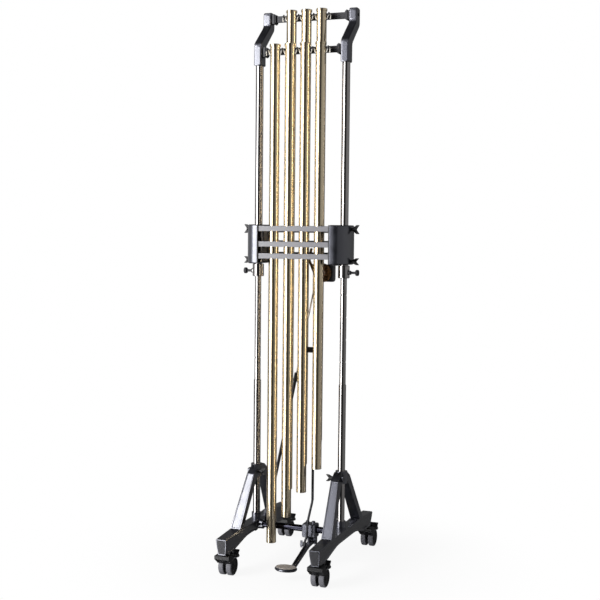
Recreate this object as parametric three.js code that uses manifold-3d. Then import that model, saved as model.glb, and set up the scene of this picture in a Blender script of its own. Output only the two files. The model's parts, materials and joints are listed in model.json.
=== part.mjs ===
// Tubular bells: seven low bells in two rows on a rolling frame, with a damper unit and a pedal.
// Millimetres, +Z up, +X to the player's right, +Y away from the player, floor at z = 0.
// The posts stand in the plane y = 0 of the design; the last lines centre the whole on its footprint.

import * as THREE from 'three';
import { mergeVertices } from 'three/addons/utils/BufferGeometryUtils.js';
import Module from 'manifold-3d';

const wasm = await Module();
wasm.setup();

// Clearances and counts shared by all pieces
const GAP = 0.3; // between two pieces that touch
const OVERRUN = 2; // how far a cut runs past the face it opens
const ROUND = 20; // sides of a post, bell or wheel
const SMALL_ROUND = 12; // sides of a pin, screw or rod
const BORE_ROUND = 24;
const DISC_ROUND = 32; // sides of a bore
const WELD = 0.0001; // vertices closer than this are one

// Bells
const BELL_OUTER_RADIUS = 19;
const BELL_WALL = 1.6;
const LONGEST_BELL = 1900;
const SEMITONE_SHARE = 2 ** (-1 / 24);
const BELL_PITCH = 61; // between neighbours in one row
const BELL_CAP_HEIGHT = 9;
const BELL_CAP_PROUD = 2.2;
const BELL_CAP_ROOF = 4;
const BELL_CAP_ROUNDING = 1.5;
const BELL_HOLE_RADIUS = 2.4;
const BELL_HOLE_DEPTH = 38; // hole axis below the top of the bell
const BELL_ABOVE_RAIL = 21; // top of a bell above the axis of its rail
const PEG_REACH = 49; // bell row in front of its rail
const RAIL_SETBACK = 88; // rear rail behind the front rail
const ROW_MIDDLE = RAIL_SETBACK / 2 - PEG_REACH; // plane midway between the two rows

// Casters
const CASTER_Y = 290; // swivel axis
const CASTER_TRAIL = 44;
const WHEEL_RADIUS = 35;
const WHEEL_WIDTH = 21;
const WHEEL_ROUNDING = 4;
const WHEEL_HUB_RADIUS = 22;
const WHEEL_DISH = 4;
const WHEEL_CLEARANCE = 2;
const AXLE_RADIUS = 4;
const WEB_HALF_WIDTH = 5;
const HOOD_SHELL = 3;
const HOOD_HALF_WIDTH = WEB_HALF_WIDTH + WHEEL_WIDTH + HOOD_SHELL;
const HOOD_RADIUS = WHEEL_RADIUS + WHEEL_CLEARANCE + HOOD_SHELL;
const HOOD_CROWN = 9; // top of the hood above its shell
const HOOD_TOP = WHEEL_RADIUS + HOOD_RADIUS + HOOD_CROWN;
const HOOD_FRONT = -15;
const HOOD_APRON_LIFT = 36; // front edge of the hood above the wheel radius
const HOOD_APRON_ANGLE = 0.5; // edge of the hood in front of the wheels, above the axle
const HOOD_FRONT_BOTTOM = WHEEL_RADIUS + HOOD_APRON_LIFT;
const HOOD_NECK = 20;
const HOOD_ARC_STEPS = 7;
const STEM_RADIUS = 6;
const STEM_SEAT = 24; // stem inside the nose of the foot beam
const LEVER_INSET = 6; // lever pin inside the trailing edge of the hood
const LEVER_Y = CASTER_TRAIL + HOOD_RADIUS - LEVER_INSET;
const LEVER_LIFT = 29; // lever pin above the wheel radius
const LEVER_Z = WHEEL_RADIUS + LEVER_LIFT;
const LEVER_LENGTH = 23;
const LEVER_REACH = LEVER_Y + LEVER_LENGTH;
const LEVER_HALF_WIDTH = 22;
const LEVER_HUB = 6;
const LEVER_RISE = 21; // upper lobe above the lever pin
const LEVER_TOP = LEVER_Z + LEVER_RISE;
const LEVER_FALL = 9; // lower lobe below the lever pin
const LEVER_BOTTOM = LEVER_Z - LEVER_FALL;
const LEVER_NOTCH_DEPTH = 10;
const LEVER_PIN_RADIUS = 2.5;

// Posts
const POST_X = 175;
const LOWER_POST_RADIUS = 14;
const NOTCHED_POST_RADIUS = 12;
const NOTCHED_POST_RISE = 352; // above the index axis
const NOTCH_PITCH = 84.5;
const NOTCHES_BELOW = 4;
const NOTCHES_ABOVE = 2;
const NOTCH_DEPTH = 1.2;
const NOTCH_HEIGHT = 5;
const INDEX_HEIGHT = 1128; // axis of the index plungers
const LOWER_POST_MARGIN = 86; // step of the lower post below its lowest notch
const LOWER_POST_TOP = INDEX_HEIGHT - NOTCHES_BELOW * NOTCH_PITCH - LOWER_POST_MARGIN;
const NOTCHED_POST_TOP = INDEX_HEIGHT + NOTCHED_POST_RISE;
const UPPER_POST_RADIUS = 15;
const UPPER_POST_DROP = 18; // end of the upper post below the index axis
const UPPER_POST_RISE = 783; // its shoulder above the index axis
const UPPER_POST_BOTTOM = INDEX_HEIGHT - UPPER_POST_DROP;
const UPPER_POST_SHOULDER = INDEX_HEIGHT + UPPER_POST_RISE;
const SPIGOT_RADIUS = 11;
const SPIGOT_LENGTH = 60;
const POST_END_CHAMFER = 2;
const SLIDE_HEADROOM = 60; // left over the notched post when the frame is at its lowest

// Post collars and index plungers
const COLLAR_WALL = 6.7;
const COLLAR_RADIUS = UPPER_POST_RADIUS + GAP + COLLAR_WALL;
const COLLAR_LIP = 3; // ring under the post end
const COLLAR_HEIGHT = 48;
const COLLAR_BOTTOM = UPPER_POST_BOTTOM - COLLAR_LIP;
const COLLAR_TOP = COLLAR_BOTTOM + COLLAR_HEIGHT;
const COLLAR_CHAMFER = 2;
const PLUNGER_RADIUS = 4;
const BOSS_WALL = 3.7;
const BOSS_RADIUS = PLUNGER_RADIUS + GAP + BOSS_WALL;
const BOSS_PROUD = 1; // boss beyond the collar
const BOSS_REACH = COLLAR_RADIUS + BOSS_PROUD; // outer face of the boss beyond the post axis
const PLUNGER_FLANGE_PROUD = 4;
const PLUNGER_FLANGE_RADIUS = PLUNGER_RADIUS + PLUNGER_FLANGE_PROUD;
const PLUNGER_FLANGE = 5;
const PLUNGER_WAIST_RADIUS = 5;
const PLUNGER_WAIST = 19;
const PLUNGER_HEAD_RADIUS = 11.5;
const PLUNGER_HEAD = 12;
const PLUNGER_EDGE = 2;

// Top brackets
const BRACKET_WIDTH = 32;
const BRACKET_DEPTH = 45;
const BRACKET_HEAD_DEPTH = 40;
const BRACKET_SOCKET_HEIGHT = 82; // straight part round the spigot
const BRACKET_SLANT_HEIGHT = 79;
const BRACKET_HEAD_HEIGHT = 54;
const BRACKET_LOWER_BEND = UPPER_POST_SHOULDER + BRACKET_SOCKET_HEIGHT;
const BRACKET_UPPER_BEND = BRACKET_LOWER_BEND + BRACKET_SLANT_HEIGHT;
const BRACKET_TOP = BRACKET_UPPER_BEND + BRACKET_HEAD_HEIGHT;
const BRACKET_BEND_DROP = 12; // the rear edge bends lower than the front edge
const BRACKET_ROUNDING = 10;
const BRACKET_EDGE = 3;
const BRACKET_SCREW_RADIUS = 6;
const BRACKET_SCREW_REACH = 8;
const BRACKET_SCREW_RISE = 22;

// Rails with their pegs and end clamps
const RAIL_HEIGHT = 23;
const RAIL_DEPTH = 14;
const RAIL_EDGE = 2;
const FRONT_RAIL_RISE = 50; // front rail above the shoulder of the post
const REAR_RAIL_DROP = 26; // rear rail below the top of the brackets
const FRONT_RAIL_Z = UPPER_POST_SHOULDER + FRONT_RAIL_RISE;
const REAR_RAIL_Z = BRACKET_TOP - REAR_RAIL_DROP;
const FRONT_BELL_TOP = FRONT_RAIL_Z + BELL_ABOVE_RAIL;
const REAR_BELL_TOP = REAR_RAIL_Z + BELL_ABOVE_RAIL;
const RAIL_BLOCK_LENGTH = 16;
const RAIL_BLOCK_EXTRA_HEIGHT = 10; // block over the rail
const RAIL_BLOCK_HEIGHT = RAIL_HEIGHT + RAIL_BLOCK_EXTRA_HEIGHT;
const RAIL_BLOCK_EXTRA_DEPTH = 14;
const RAIL_BLOCK_DEPTH = RAIL_DEPTH + RAIL_BLOCK_EXTRA_DEPTH;
const RAIL_FLANGE_LENGTH = 4;
const RAIL_FLANGE_EXTRA = 5; // flange over the block
const RAIL_FLANGE_HEIGHT = RAIL_BLOCK_HEIGHT + RAIL_FLANGE_EXTRA;
const RAIL_FLANGE_DEPTH = RAIL_BLOCK_DEPTH + RAIL_FLANGE_EXTRA;
const PEG_RADIUS = 2.6;
const PEG_DROP = 5; // peg axis below the rail axis
const PEG_TIP_RISE = 10.5;
const PEG_TIP_RADIUS = 3;

// Suspension cords
const CORD_RADIUS = 1.8;
const CORD_SIDES = 6;
const CORD_STEP = 5.2;
const CORD_TAIL = 14;
const CORD_LIFT = 0.5; // between a cord and what it runs over
const CORD_STRAIGHT = 2.4; // straight stretch outside each bell hole
const CORD_ARC_POINTS = 5;

// Damper unit
const FELT_CLEARANCE = 7; // felt to bell with the pedal up
const FRONT_BAR_DEPTH = 7.5; // moving front bar with its felt
const HOUSING_WALL = 3.5;
const HOUSING_HALF_WIDTH = 30;
const HOUSING_INNER_X = POST_X - HOUSING_HALF_WIDTH;
const HOUSING_OUTER_X = POST_X + HOUSING_HALF_WIDTH;
const HOUSING_HALF_DEPTH =
  PEG_REACH + BELL_OUTER_RADIUS + FELT_CLEARANCE + FRONT_BAR_DEPTH + GAP + HOUSING_WALL;
const HOUSING_ABOVE_COLLAR = 3;
const HOUSING_HEIGHT = 148;
const HOUSING_BOTTOM = COLLAR_TOP + HOUSING_ABOVE_COLLAR;
const HOUSING_TOP = HOUSING_BOTTOM + HOUSING_HEIGHT;
const HOUSING_EDGE = 4;
const HOUSING_FACE = 14; // flat front face before the side curves back
const HOUSING_CURVE_SHARE = 0.6;
const HOUSING_CURVE_STEPS = 5;
const BAR_HEIGHT = 20;
const BAR_THICKNESS = 4;
const BAR_TAB = 12; // bar end inside the housing
const REAR_BAR_EXTRA = 6; // rear bars are taller
const TOP_BAR_DROP = 15; // bar axis below the top of the housing
const DAMPER_BAR_DROP = 73.5;
const BOTTOM_BAR_DROP = 118.5;
const TOP_BAR_Z = HOUSING_TOP - TOP_BAR_DROP;
const DAMPER_BAR_Z = HOUSING_TOP - DAMPER_BAR_DROP;
const BOTTOM_BAR_Z = HOUSING_TOP - BOTTOM_BAR_DROP;
const GUIDE_PIN_RADIUS = 3;
const GUIDE_PIN_INSET = 7; // pin inside the housing's inner face
const GUIDE_PIN_X = HOUSING_INNER_X + GUIDE_PIN_INSET;
const GUIDE_PIN_LENGTH = 26;
const GUIDE_BLOCK_WIDTH = 12;
const GUIDE_BLOCK_HEIGHT = 28;
const GUIDE_BLOCK_DEPTH = 10;
const RUNNING_GAP = 0.3; // radial, between a pin and what turns or slides on it

// Clamp knobs
const KNOB_SCREW_RADIUS = 4;
const KNOB_HUB_RADIUS = 7;
const KNOB_HUB_LENGTH = 16;
const KNOB_WING_SPAN = 34;
const KNOB_WING_THICKNESS = 5;
const KNOB_WING_LENGTH = 12;
const KNOB_WING_FLARE = 12; // wing tips beyond the hub's outer end
const KNOB_STANDOFF = 2;
const UPPER_KNOB_DROP = 16; // below the top of the housing
const LOWER_KNOB_RISE = 12; // above its bottom
const UPPER_KNOB_Z = HOUSING_TOP - UPPER_KNOB_DROP;
const LOWER_KNOB_Z = HOUSING_BOTTOM + LOWER_KNOB_RISE;
const LOWER_KNOB_SPAN = 26;

// Damper crank and its plate
const CRANK_INSET = 52; // crank axis inside the right housing's inner face
const CRANK_HANG = 32; // crank axis below the housings
const CRANK_X = HOUSING_INNER_X - CRANK_INSET;
const CRANK_Z = HOUSING_BOTTOM - CRANK_HANG;
const CRANK_DISC_RADIUS = 36;
const CRANK_RIM = 5; // raised rim of the disc
const CRANK_FACE_DEPTH = 1.6; // face of the disc behind its rim
const CRANK_THICKNESS = 5;
const CRANK_FORWARD = 1.5; // crank in front of the plane between the rows
const CRANK_Y = ROW_MIDDLE - CRANK_FORWARD; // rear face
const CRANK_BORE = 5;
const CRANK_ARM = 28; // crank axis to the pin of the pull rod
const CRANK_ARM_WIDTH = 14;
const CRANK_PIN_RADIUS = 3;
const CRANK_FINGER_RISE = 92;
const CRANK_FINGER_SHIFT = -22;
const CRANK_FINGER_WIDTH = 9;
const PLATE_THICKNESS = 5;
const PLATE_OVER_AXLE = 21; // plate beyond the crank axis
const PLATE_LEFT = CRANK_X - PLATE_OVER_AXLE;
const PLATE_INSET = 2; // plate inside the housing
const PLATE_RIGHT = HOUSING_INNER_X - PLATE_INSET;
const PLATE_UNDER_AXLE = 34;
const PLATE_BOTTOM = CRANK_Z - PLATE_UNDER_AXLE;
const PLATE_ROUNDING = 12;
const PLATE_FLANGE_DEPTH = 28;
const PLATE_FLANGE_MARGIN = 3; // flange clear of the disc's side
const PLATE_FLANGE_TUCK = 5.5; // flange under the housing
const PLATE_FLANGE_REACH = HOUSING_INNER_X + PLATE_FLANGE_TUCK;
const PLATE_FLANGE_THICKNESS = 4;

// Pull rod
const ROD_X = CRANK_X - CRANK_ARM;
const ROD_FORWARD = 11; // rod in front of the plane between the rows
const ROD_Y = ROW_MIDDLE - ROD_FORWARD;
const UPPER_ROD_RADIUS = 3;
const LOWER_ROD_RADIUS = 5;
const COUPLER_DROP = 304; // coupler below the crank axis
const COUPLER_Z = CRANK_Z - COUPLER_DROP;
const COUPLER_HEIGHT = 20;
const COUPLER_WIDTH = 30;
const COUPLER_ARM = 14; // coupler longer on its left side
const COUPLER_FRONT = 7;
const COUPLER_BACK = 9;
const UPPER_ROD_DEPTH = 200; // upper rod inside the lower one
const ROD_BORE_MARGIN = 40; // bore beyond the end of the upper rod
const ROD_EYE_RADIUS = 8;
const ROD_EYE_LENGTH = 7;
const FOOT_EYE_LENGTH = 10;
const ROD_EYE_PLAY = 1.1;
const ROD_STEP = 11;

// Stay between the base and the crank plate
const STAY_BACK = 9; // stay behind the plane between the rows
const STAY_Y = ROW_MIDDLE + STAY_BACK;
const STAY_FOOT_INSET = 46; // foot of the stay inside the left post
const STAY_FOOT_X = STAY_FOOT_INSET - POST_X;
const STAY_HEAD_SHIFT = 13; // head of the stay beside the pull rod
const STAY_HEAD_X = ROD_X - STAY_HEAD_SHIFT;
const STAY_HEAD_RISE = 24; // above the crank axis
const STAY_HEAD_Z = CRANK_Z + STAY_HEAD_RISE;
const STAY_UPRIGHT = 100; // upright end of the rod below its eye
const STAY_BEND_Z = STAY_HEAD_Z - STAY_UPRIGHT;
const STAY_TUBE_RADIUS = 6;
const STAY_ROD_RADIUS = 3;
const STAY_TUBE_SHARE = 0.6435; // of the slanted length
const STAY_FERRULE_RADIUS = 8.5;
const STAY_FERRULE = 33;
const STAY_ROD_DEPTH = 230; // rod inside the tube
const STAY_BORE_MARGIN = 20; // bore beyond the end of the rod
const STAY_PIN_RADIUS = 3;
const STAY_EYE_RADIUS = 8;
const STAY_EYE_PLAY = 1.7; // the head's eye is the open pivot of the linkage
const STAY_LUG_WIDTH = 16;
const STAY_LUG_THICKNESS = 4;
const TONGUE_SIDE = 8; // tongue beyond the stay pin
const TONGUE_LEFT = STAY_HEAD_X - TONGUE_SIDE;
const TONGUE_UNDER = 10;
const TONGUE_BOTTOM = STAY_HEAD_Z - TONGUE_UNDER;

// Rolling base
const BASE_SPREAD = 8; // stand outside its post
const BASE_X = POST_X + BASE_SPREAD; // centre plane of a stand
const NOSE_OVER_STEM = 21; // nose beyond the swivel axis
const NOSE_REACH = CASTER_Y + NOSE_OVER_STEM;
const NOSE_OVER_HOOD = 4;
const NOSE_HEIGHT = 60;
const NOSE_BOTTOM = HOOD_TOP + NOSE_OVER_HOOD;
const NOSE_TOP = NOSE_BOTTOM + NOSE_HEIGHT;
const STEM_TOP = NOSE_BOTTOM + STEM_SEAT;
const BEAM_RISE = 7; // middle of the beam above its noses
const BEAM_TOP = NOSE_TOP + BEAM_RISE;
const BEAM_PAD_RISE = 9; // leg pads above the noses
const BEAM_PAD_TOP = NOSE_TOP + BEAM_PAD_RISE;
const BEAM_DEPTH = 38; // at the middle
const BEAM_ARCH = BEAM_TOP - BEAM_DEPTH; // underside at the middle
const CROSSBAR_RADIUS = 12.5;
const BEAM_BOSS_WALL = 6.2;
const BEAM_BOSS_RADIUS = CROSSBAR_RADIUS + GAP + BEAM_BOSS_WALL;
const CROSSBAR_Z = BEAM_ARCH + BEAM_BOSS_RADIUS;
const CROSSBAR_END_INSET = 4.5; // crossbar end inside the foot of the post
const CROSSBAR_END_X = POST_X - LOWER_POST_RADIUS - CROSSBAR_END_INSET;
const BEAM_BOSS_GRIP = 13.5; // crossbar inside its boss
const BEAM_BOSS_END_X = CROSSBAR_END_X - BEAM_BOSS_GRIP;
const NOSE_SLOPE = 8; // front face leans back towards its lower edge
const NOSE_FLAT = 62; // level underside at each end
const ARCH_START = 190;
const ARCH_END = 110;
const BEAM_HALF_WIDTH = 22;
const BEAM_FOOT_HALF_WIDTH = 14;
const LOWER_POST_SEAT = 3; // foot of the post below the top of the beam
const LOWER_POST_FOOT = BEAM_TOP - LOWER_POST_SEAT;
const STAY_LUG_RISE = 39; // stay pin above the crossbar
const STAY_FOOT_Z = CROSSBAR_Z + STAY_LUG_RISE;
const SOCKET_WALL = 5;
const SOCKET_RADIUS = LOWER_POST_RADIUS + SOCKET_WALL;
const SOCKET_RISE = 26;
const SOCKET_TOP = BEAM_TOP + SOCKET_RISE;
const LEG_FOOT_INNER = 150;
const LEG_FOOT_LENGTH = 34;
const LEG_FOOT_OUTER = LEG_FOOT_INNER + LEG_FOOT_LENGTH;
const LEG_HEAD_OUTER = 66;
const LEG_HEAD_INNER = 36;
const LEG_RISE = 174; // crotch above the pads of the beam
const LEG_CROTCH_Z = BEAM_PAD_TOP + LEG_RISE;
const LEG_SHOULDER_RISE = 16; // above the crotch
const LEG_SHOULDER_Z = LEG_CROTCH_Z + LEG_SHOULDER_RISE;
const LEG_CROWN_RISE = 40; // above the crotch
const LEG_TOP = LEG_CROTCH_Z + LEG_CROWN_RISE;
const LEG_CROWN_HALF = 27;
const LEG_HALF_WIDTH_FOOT = 20;
const LEG_HALF_WIDTH_HEAD = 15;
const LEG_LEAN = 13; // head of the leg frame further in than its feet
const CLAMP_WALL = 9;
const CLAMP_RADIUS = LOWER_POST_RADIUS + CLAMP_WALL;
const CLAMP_PROUD = 3; // clamp ring beyond the crown at each end
const CLAMP_BOTTOM = LEG_CROTCH_Z - CLAMP_PROUD;
const CLAMP_TOP = LEG_TOP + CLAMP_PROUD;
const EAR_RADIUS = 11;
const EAR_OUT = 8; // screw axis outside the clamp ring
const EAR_Y = -CLAMP_RADIUS - EAR_OUT;
const EAR_HALF_WIDTH = 21;
const SLIT = 3;
const EAR_LIFT = 22; // screw axis above the foot of the clamp ring
const EAR_Z = CLAMP_BOTTOM + EAR_LIFT;

// Pedal and its clamp
const PEDAL_SHIFT = 3; // pedal arm beside the pull rod
const PEDAL_X = ROD_X - PEDAL_SHIFT;
const PEDAL_ARM_WIDTH = 20;
const PEDAL_ARM_HEIGHT = 14;
const PEDAL_TIP_HEIGHT = 9;
const PEDAL_PIVOT_Y = -5;
const PEDAL_PIVOT_DROP = 44; // pivot below the crossbar
const PEDAL_PIVOT_Z = CROSSBAR_Z - PEDAL_PIVOT_DROP;
const PEDAL_KNEE_Y = -60;
const PEDAL_KNEE_DROP = 4;
const PEDAL_KNEE_Z = PEDAL_PIVOT_Z - PEDAL_KNEE_DROP;
const PEDAL_TIP_Y = -200;
const PEDAL_TIP_DROP = 46;
const PEDAL_TIP_Z = PEDAL_PIVOT_Z - PEDAL_TIP_DROP;
const PEDAL_CHANNEL_WIDTH = 11;
const PEDAL_CHANNEL_DEPTH = 4;
const PEDAL_HUB_RADIUS = 11;
const PEDAL_PIN_RADIUS = 5;
const PAD_SHIFT = 22; // pad centre beside the arm
const PAD_X = PEDAL_X - PAD_SHIFT;
const PAD_FORWARD = 22; // pad centre beyond the end of the arm
const PAD_Y = PEDAL_TIP_Y - PAD_FORWARD;
const PAD_DROP = 10; // underside of the pad below the end of the arm
const PAD_Z = PEDAL_TIP_Z - PAD_DROP;
const PAD_HALF_WIDTH = 43;
const PAD_HALF_DEPTH = 32;
const PAD_THICKNESS = 12;
const PAD_EDGE = 4;
const PEDAL_LUG_WIDTH = 6;
const STUB_ARM = 45; // stub in front of the pivot
const STUB_Y = PEDAL_PIVOT_Y - STUB_ARM;
const STUB_DROP = 3;
const STUB_Z = PEDAL_PIVOT_Z - STUB_DROP;
const STUB_RADIUS = 3.5;
const ROD_BEND_RISE = 166; // start of the bend above the stub
const ROD_BEND_Z = STUB_Z + ROD_BEND_RISE;
const WING_NUT_LENGTH = 11;
const WING_NUT_WALL = 2.5;
const WING_NUT_RADIUS = STUB_RADIUS + WING_NUT_WALL;
const WING_NUT_SPAN = 26;
const WING_NUT_THICKNESS = 4;
const CLAMP_BLOCK_SHIFT = 10; // block beside the pedal arm
const CLAMP_BLOCK_X = PEDAL_X - CLAMP_BLOCK_SHIFT;
const CLAMP_BLOCK_HALF_WIDTH = 27;
const CLAMP_BLOCK_WALL = 11.5;
const CLAMP_BLOCK_HALF_DEPTH = CROSSBAR_RADIUS + CLAMP_BLOCK_WALL;
const CLAMP_BLOCK_UNDER = 30; // block below the crossbar axis
const CLAMP_BLOCK_BOTTOM = CROSSBAR_Z - CLAMP_BLOCK_UNDER;
const CLAMP_BLOCK_OVER = 24; // block above the crossbar axis
const CLAMP_BLOCK_TOP = CROSSBAR_Z + CLAMP_BLOCK_OVER;
const CLAMP_BLOCK_ROUNDING = 9;
const CLAMP_BOLT_RADIUS = 7;
const CLAMP_BOLT_HEAD = 8;
const CLAMP_BOLT_OFFSET = 12;

// Finishes
const finish = (name, color, roughness, metalness) =>
  new THREE.MeshStandardMaterial({ name, color, roughness, metalness });
const brass = finish('satin brass', 0xc9a862, 0.3, 1);
const chrome = finish('chrome', 0xd4d4d6, 0.12, 1);
const blackCasting = finish('black enamelled casting', 0x33343a, 0.38, 0.3);
const greyBar = finish('grey painted bar', 0x8e8c94, 0.4, 0.5);
const blackSteel = finish('black steel', 0x202124, 0.4, 0.5);
const brightZinc = finish('bright zinc', 0xc4bab2, 0.3, 1);
const passivatedSteel = finish('passivated steel', 0x8a6b42, 0.35, 0.9);
const moulding = finish('black moulding', 0x1d1d20, 0.5, 0);
const tread = finish('grey wheel tread', 0x77777d, 0.6, 0);
const cordFibre = finish('pale cord', 0xd8d2c4, 0.9, 0);

// Solid helpers: closed three.js geometry in, closed three.js geometry out
function toManifold(geometry) {
  const bare = geometry.clone();
  for (const extra of Object.keys(bare.attributes)) {
    if (extra !== 'position') bare.deleteAttribute(extra);
  }
  const welded = mergeVertices(bare, WELD);
  const index = welded.index.array;
  const corners = [];
  for (let i = 0; i < index.length; i += 3) {
    const [a, b, c] = [index[i], index[i + 1], index[i + 2]];
    if (a !== b && b !== c && c !== a) corners.push(a, b, c);
  }
  const vertProperties = new Float32Array(welded.attributes.position.array);
  const triVerts = new Uint32Array(corners);
  return new wasm.Manifold(new wasm.Mesh({ numProp: 3, vertProperties, triVerts }));
}

function toGeometry(manifold) {
  const { vertProperties, triVerts } = manifold.getMesh();
  const geometry = new THREE.BufferGeometry();
  geometry.setAttribute('position', new THREE.BufferAttribute(new Float32Array(vertProperties), 3));
  geometry.setIndex(new THREE.BufferAttribute(new Uint32Array(triVerts), 1));
  const flat = geometry.toNonIndexed();
  flat.computeVertexNormals();
  return flat;
}

const join = (first, ...others) =>
  toGeometry(others.reduce((sum, next) => sum.add(toManifold(next)), toManifold(first)));

const cut = (body, ...tools) =>
  toGeometry(tools.reduce((rest, tool) => rest.subtract(toManifold(tool)), toManifold(body)));

const overlap = (a, b) => toGeometry(toManifold(a).intersect(toManifold(b)));

// Mirrors a shape across the plane x = 0 and turns its faces out again
function mirrored(geometry) {
  const flipped = geometry.index ? geometry.toNonIndexed() : geometry.clone();
  const p = flipped.attributes.position;
  for (let i = 0; i < p.count; i += 3) {
    const [bx, by, bz] = [p.getX(i + 1), p.getY(i + 1), p.getZ(i + 1)];
    p.setXYZ(i, -p.getX(i), p.getY(i), p.getZ(i));
    p.setXYZ(i + 1, -p.getX(i + 2), p.getY(i + 2), p.getZ(i + 2));
    p.setXYZ(i + 2, -bx, by, bz);
  }
  flipped.computeVertexNormals();
  return flipped;
}

const onSide = (side, geometry) => (side < 0 ? mirrored(geometry) : geometry);

// Outline through corners; each corner may carry its own rounding radius as a third number
function outline(corners) {
  const points = corners.map(([a, b]) => new THREE.Vector2(a, b));
  const shape = new THREE.Shape();
  points.forEach((corner, i) => {
    const radius = corners[i][2] ?? 0;
    const before = points[(i + points.length - 1) % points.length];
    const after = points[(i + 1) % points.length];
    const from = corner.clone().add(before.clone().sub(corner).setLength(radius));
    const to = corner.clone().add(after.clone().sub(corner).setLength(radius));
    if (i === 0) shape.moveTo(from.x, from.y);
    else shape.lineTo(from.x, from.y);
    if (radius > 0) shape.quadraticCurveTo(corner.x, corner.y, to.x, to.y);
  });
  shape.closePath();
  return shape;
}

// Extrusions of an outline along one axis, from one place to another, with an optional bevelled edge
const basisX = new THREE.Matrix4().makeBasis(
  new THREE.Vector3(0, 1, 0), new THREE.Vector3(0, 0, 1), new THREE.Vector3(1, 0, 0));
const basisY = new THREE.Matrix4().makeBasis(
  new THREE.Vector3(1, 0, 0), new THREE.Vector3(0, 0, 1), new THREE.Vector3(0, -1, 0));

function extrusion(shape, length, edge, curveSegments) {
  const geometry = new THREE.ExtrudeGeometry(shape, {
    depth: length - 2 * edge, steps: 1, curveSegments,
    bevelEnabled: edge > 0, bevelThickness: edge, bevelSize: edge, bevelOffset: -edge, bevelSegments: 1,
  });
  return geometry.translate(0, 0, edge);
}

const alongX = (shape, from, to, edge = 0, curveSegments = 3) =>
  extrusion(shape, to - from, edge, curveSegments).applyMatrix4(basisX).translate(from, 0, 0);
const alongY = (shape, from, to, edge = 0, curveSegments = 3) =>
  extrusion(shape, to - from, edge, curveSegments).applyMatrix4(basisY).translate(0, to, 0);
const alongZ = (shape, from, to, edge = 0, curveSegments = 3) =>
  extrusion(shape, to - from, edge, curveSegments).translate(0, 0, from);

const box = (x0, x1, y0, y1, z0, z1) =>
  new THREE.BoxGeometry(x1 - x0, y1 - y0, z1 - z0)
    .translate((x0 + x1) / 2, (y0 + y1) / 2, (z0 + z1) / 2);

// Turned pieces: profile points are [radius, place along the axis], from the low end to the high end
function turned(profile, sides) {
  const points = profile.map(([radius, place]) => new THREE.Vector2(radius, place));
  return new THREE.LatheGeometry(points, sides);
}
const turnedZ = (profile, sides = ROUND) => turned(profile, sides).rotateX(Math.PI / 2);
const turnedX = (profile, sides = SMALL_ROUND) => turned(profile, sides).rotateZ(-Math.PI / 2);

const rodBetween = (radius, from, to, sides = SMALL_ROUND) => {
  const start = new THREE.Vector3(...from);
  const end = new THREE.Vector3(...to);
  const along = end.clone().sub(start);
  const turn = new THREE.Quaternion().setFromUnitVectors(
    new THREE.Vector3(0, 1, 0), along.clone().normalize());
  const middle = start.add(end).multiplyScalar(0.5);
  return new THREE.CylinderGeometry(radius, radius, along.length(), sides)
    .applyQuaternion(turn).translate(middle.x, middle.y, middle.z);
};

// A round section carried along a curve
function sweep(curve, radius, sides, steps) {
  const section = new THREE.Shape();
  for (let i = 0; i < sides; i += 1) {
    const angle = (2 * Math.PI * i) / sides;
    const [x, y] = [radius * Math.cos(angle), radius * Math.sin(angle)];
    if (i === 0) section.moveTo(x, y);
    else section.lineTo(x, y);
  }
  section.closePath();
  return new THREE.ExtrudeGeometry(section, { steps, extrudePath: curve });
}

const pieces = new THREE.Group();
function addPiece(name, geometry, material, parent = pieces) {
  const mesh = new THREE.Mesh(geometry, material);
  mesh.name = name;
  parent.add(mesh);
  return mesh;
}
const SIDES = [['left', -1], ['right', 1]];

// Bells: an open tube under a flanged cap, with one hole across it for the cord
function bellTube(length) {
  const bore = BELL_OUTER_RADIUS - BELL_WALL;
  const cap = BELL_OUTER_RADIUS + BELL_CAP_PROUD;
  const tube = turnedZ([
    [0, -BELL_CAP_ROOF], [bore, -BELL_CAP_ROOF], [bore, -length], [BELL_OUTER_RADIUS, -length],
    [BELL_OUTER_RADIUS, -BELL_CAP_HEIGHT], [cap, -BELL_CAP_HEIGHT], [cap, -BELL_CAP_ROUNDING],
    [cap - BELL_CAP_ROUNDING, 0], [0, 0],
  ]);
  const reach = cap + OVERRUN;
  const hole = rodBetween(BELL_HOLE_RADIUS, [-reach, 0, -BELL_HOLE_DEPTH], [reach, 0, -BELL_HOLE_DEPTH]);
  return cut(tube, hole);
}

const frontRowY = -PEG_REACH;
const rearRowY = RAIL_SETBACK - PEG_REACH;
const bellNames = ['f', 'f_sharp', 'g', 'g_sharp', 'a', 'a_sharp', 'b'];
const middleBell = (bellNames.length - 1) / 2;
bellNames.forEach((note, step) => {
  const inFront = step % 2 === 0;
  const bell = addPiece(`bell_${note}`, bellTube(LONGEST_BELL * SEMITONE_SHARE ** step), brass);
  const x = ((step - middleBell) * BELL_PITCH) / 2;
  bell.position.set(x, inFront ? frontRowY : rearRowY, inFront ? FRONT_BELL_TOP : REAR_BELL_TOP);
});
const frontBellCount = Math.ceil(bellNames.length / 2);
const rearBellCount = Math.floor(bellNames.length / 2);

// Rails: bevelled bar, a clamp block and flange at each end, one hooked peg on each side of every bell
const bracketInnerX = POST_X - BRACKET_WIDTH / 2;
const centredBlock = (height, depth) => outline([
  [-depth / 2, -height / 2], [depth / 2, -height / 2], [depth / 2, height / 2], [-depth / 2, height / 2]]);
const pegZ = -PEG_DROP;

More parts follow.
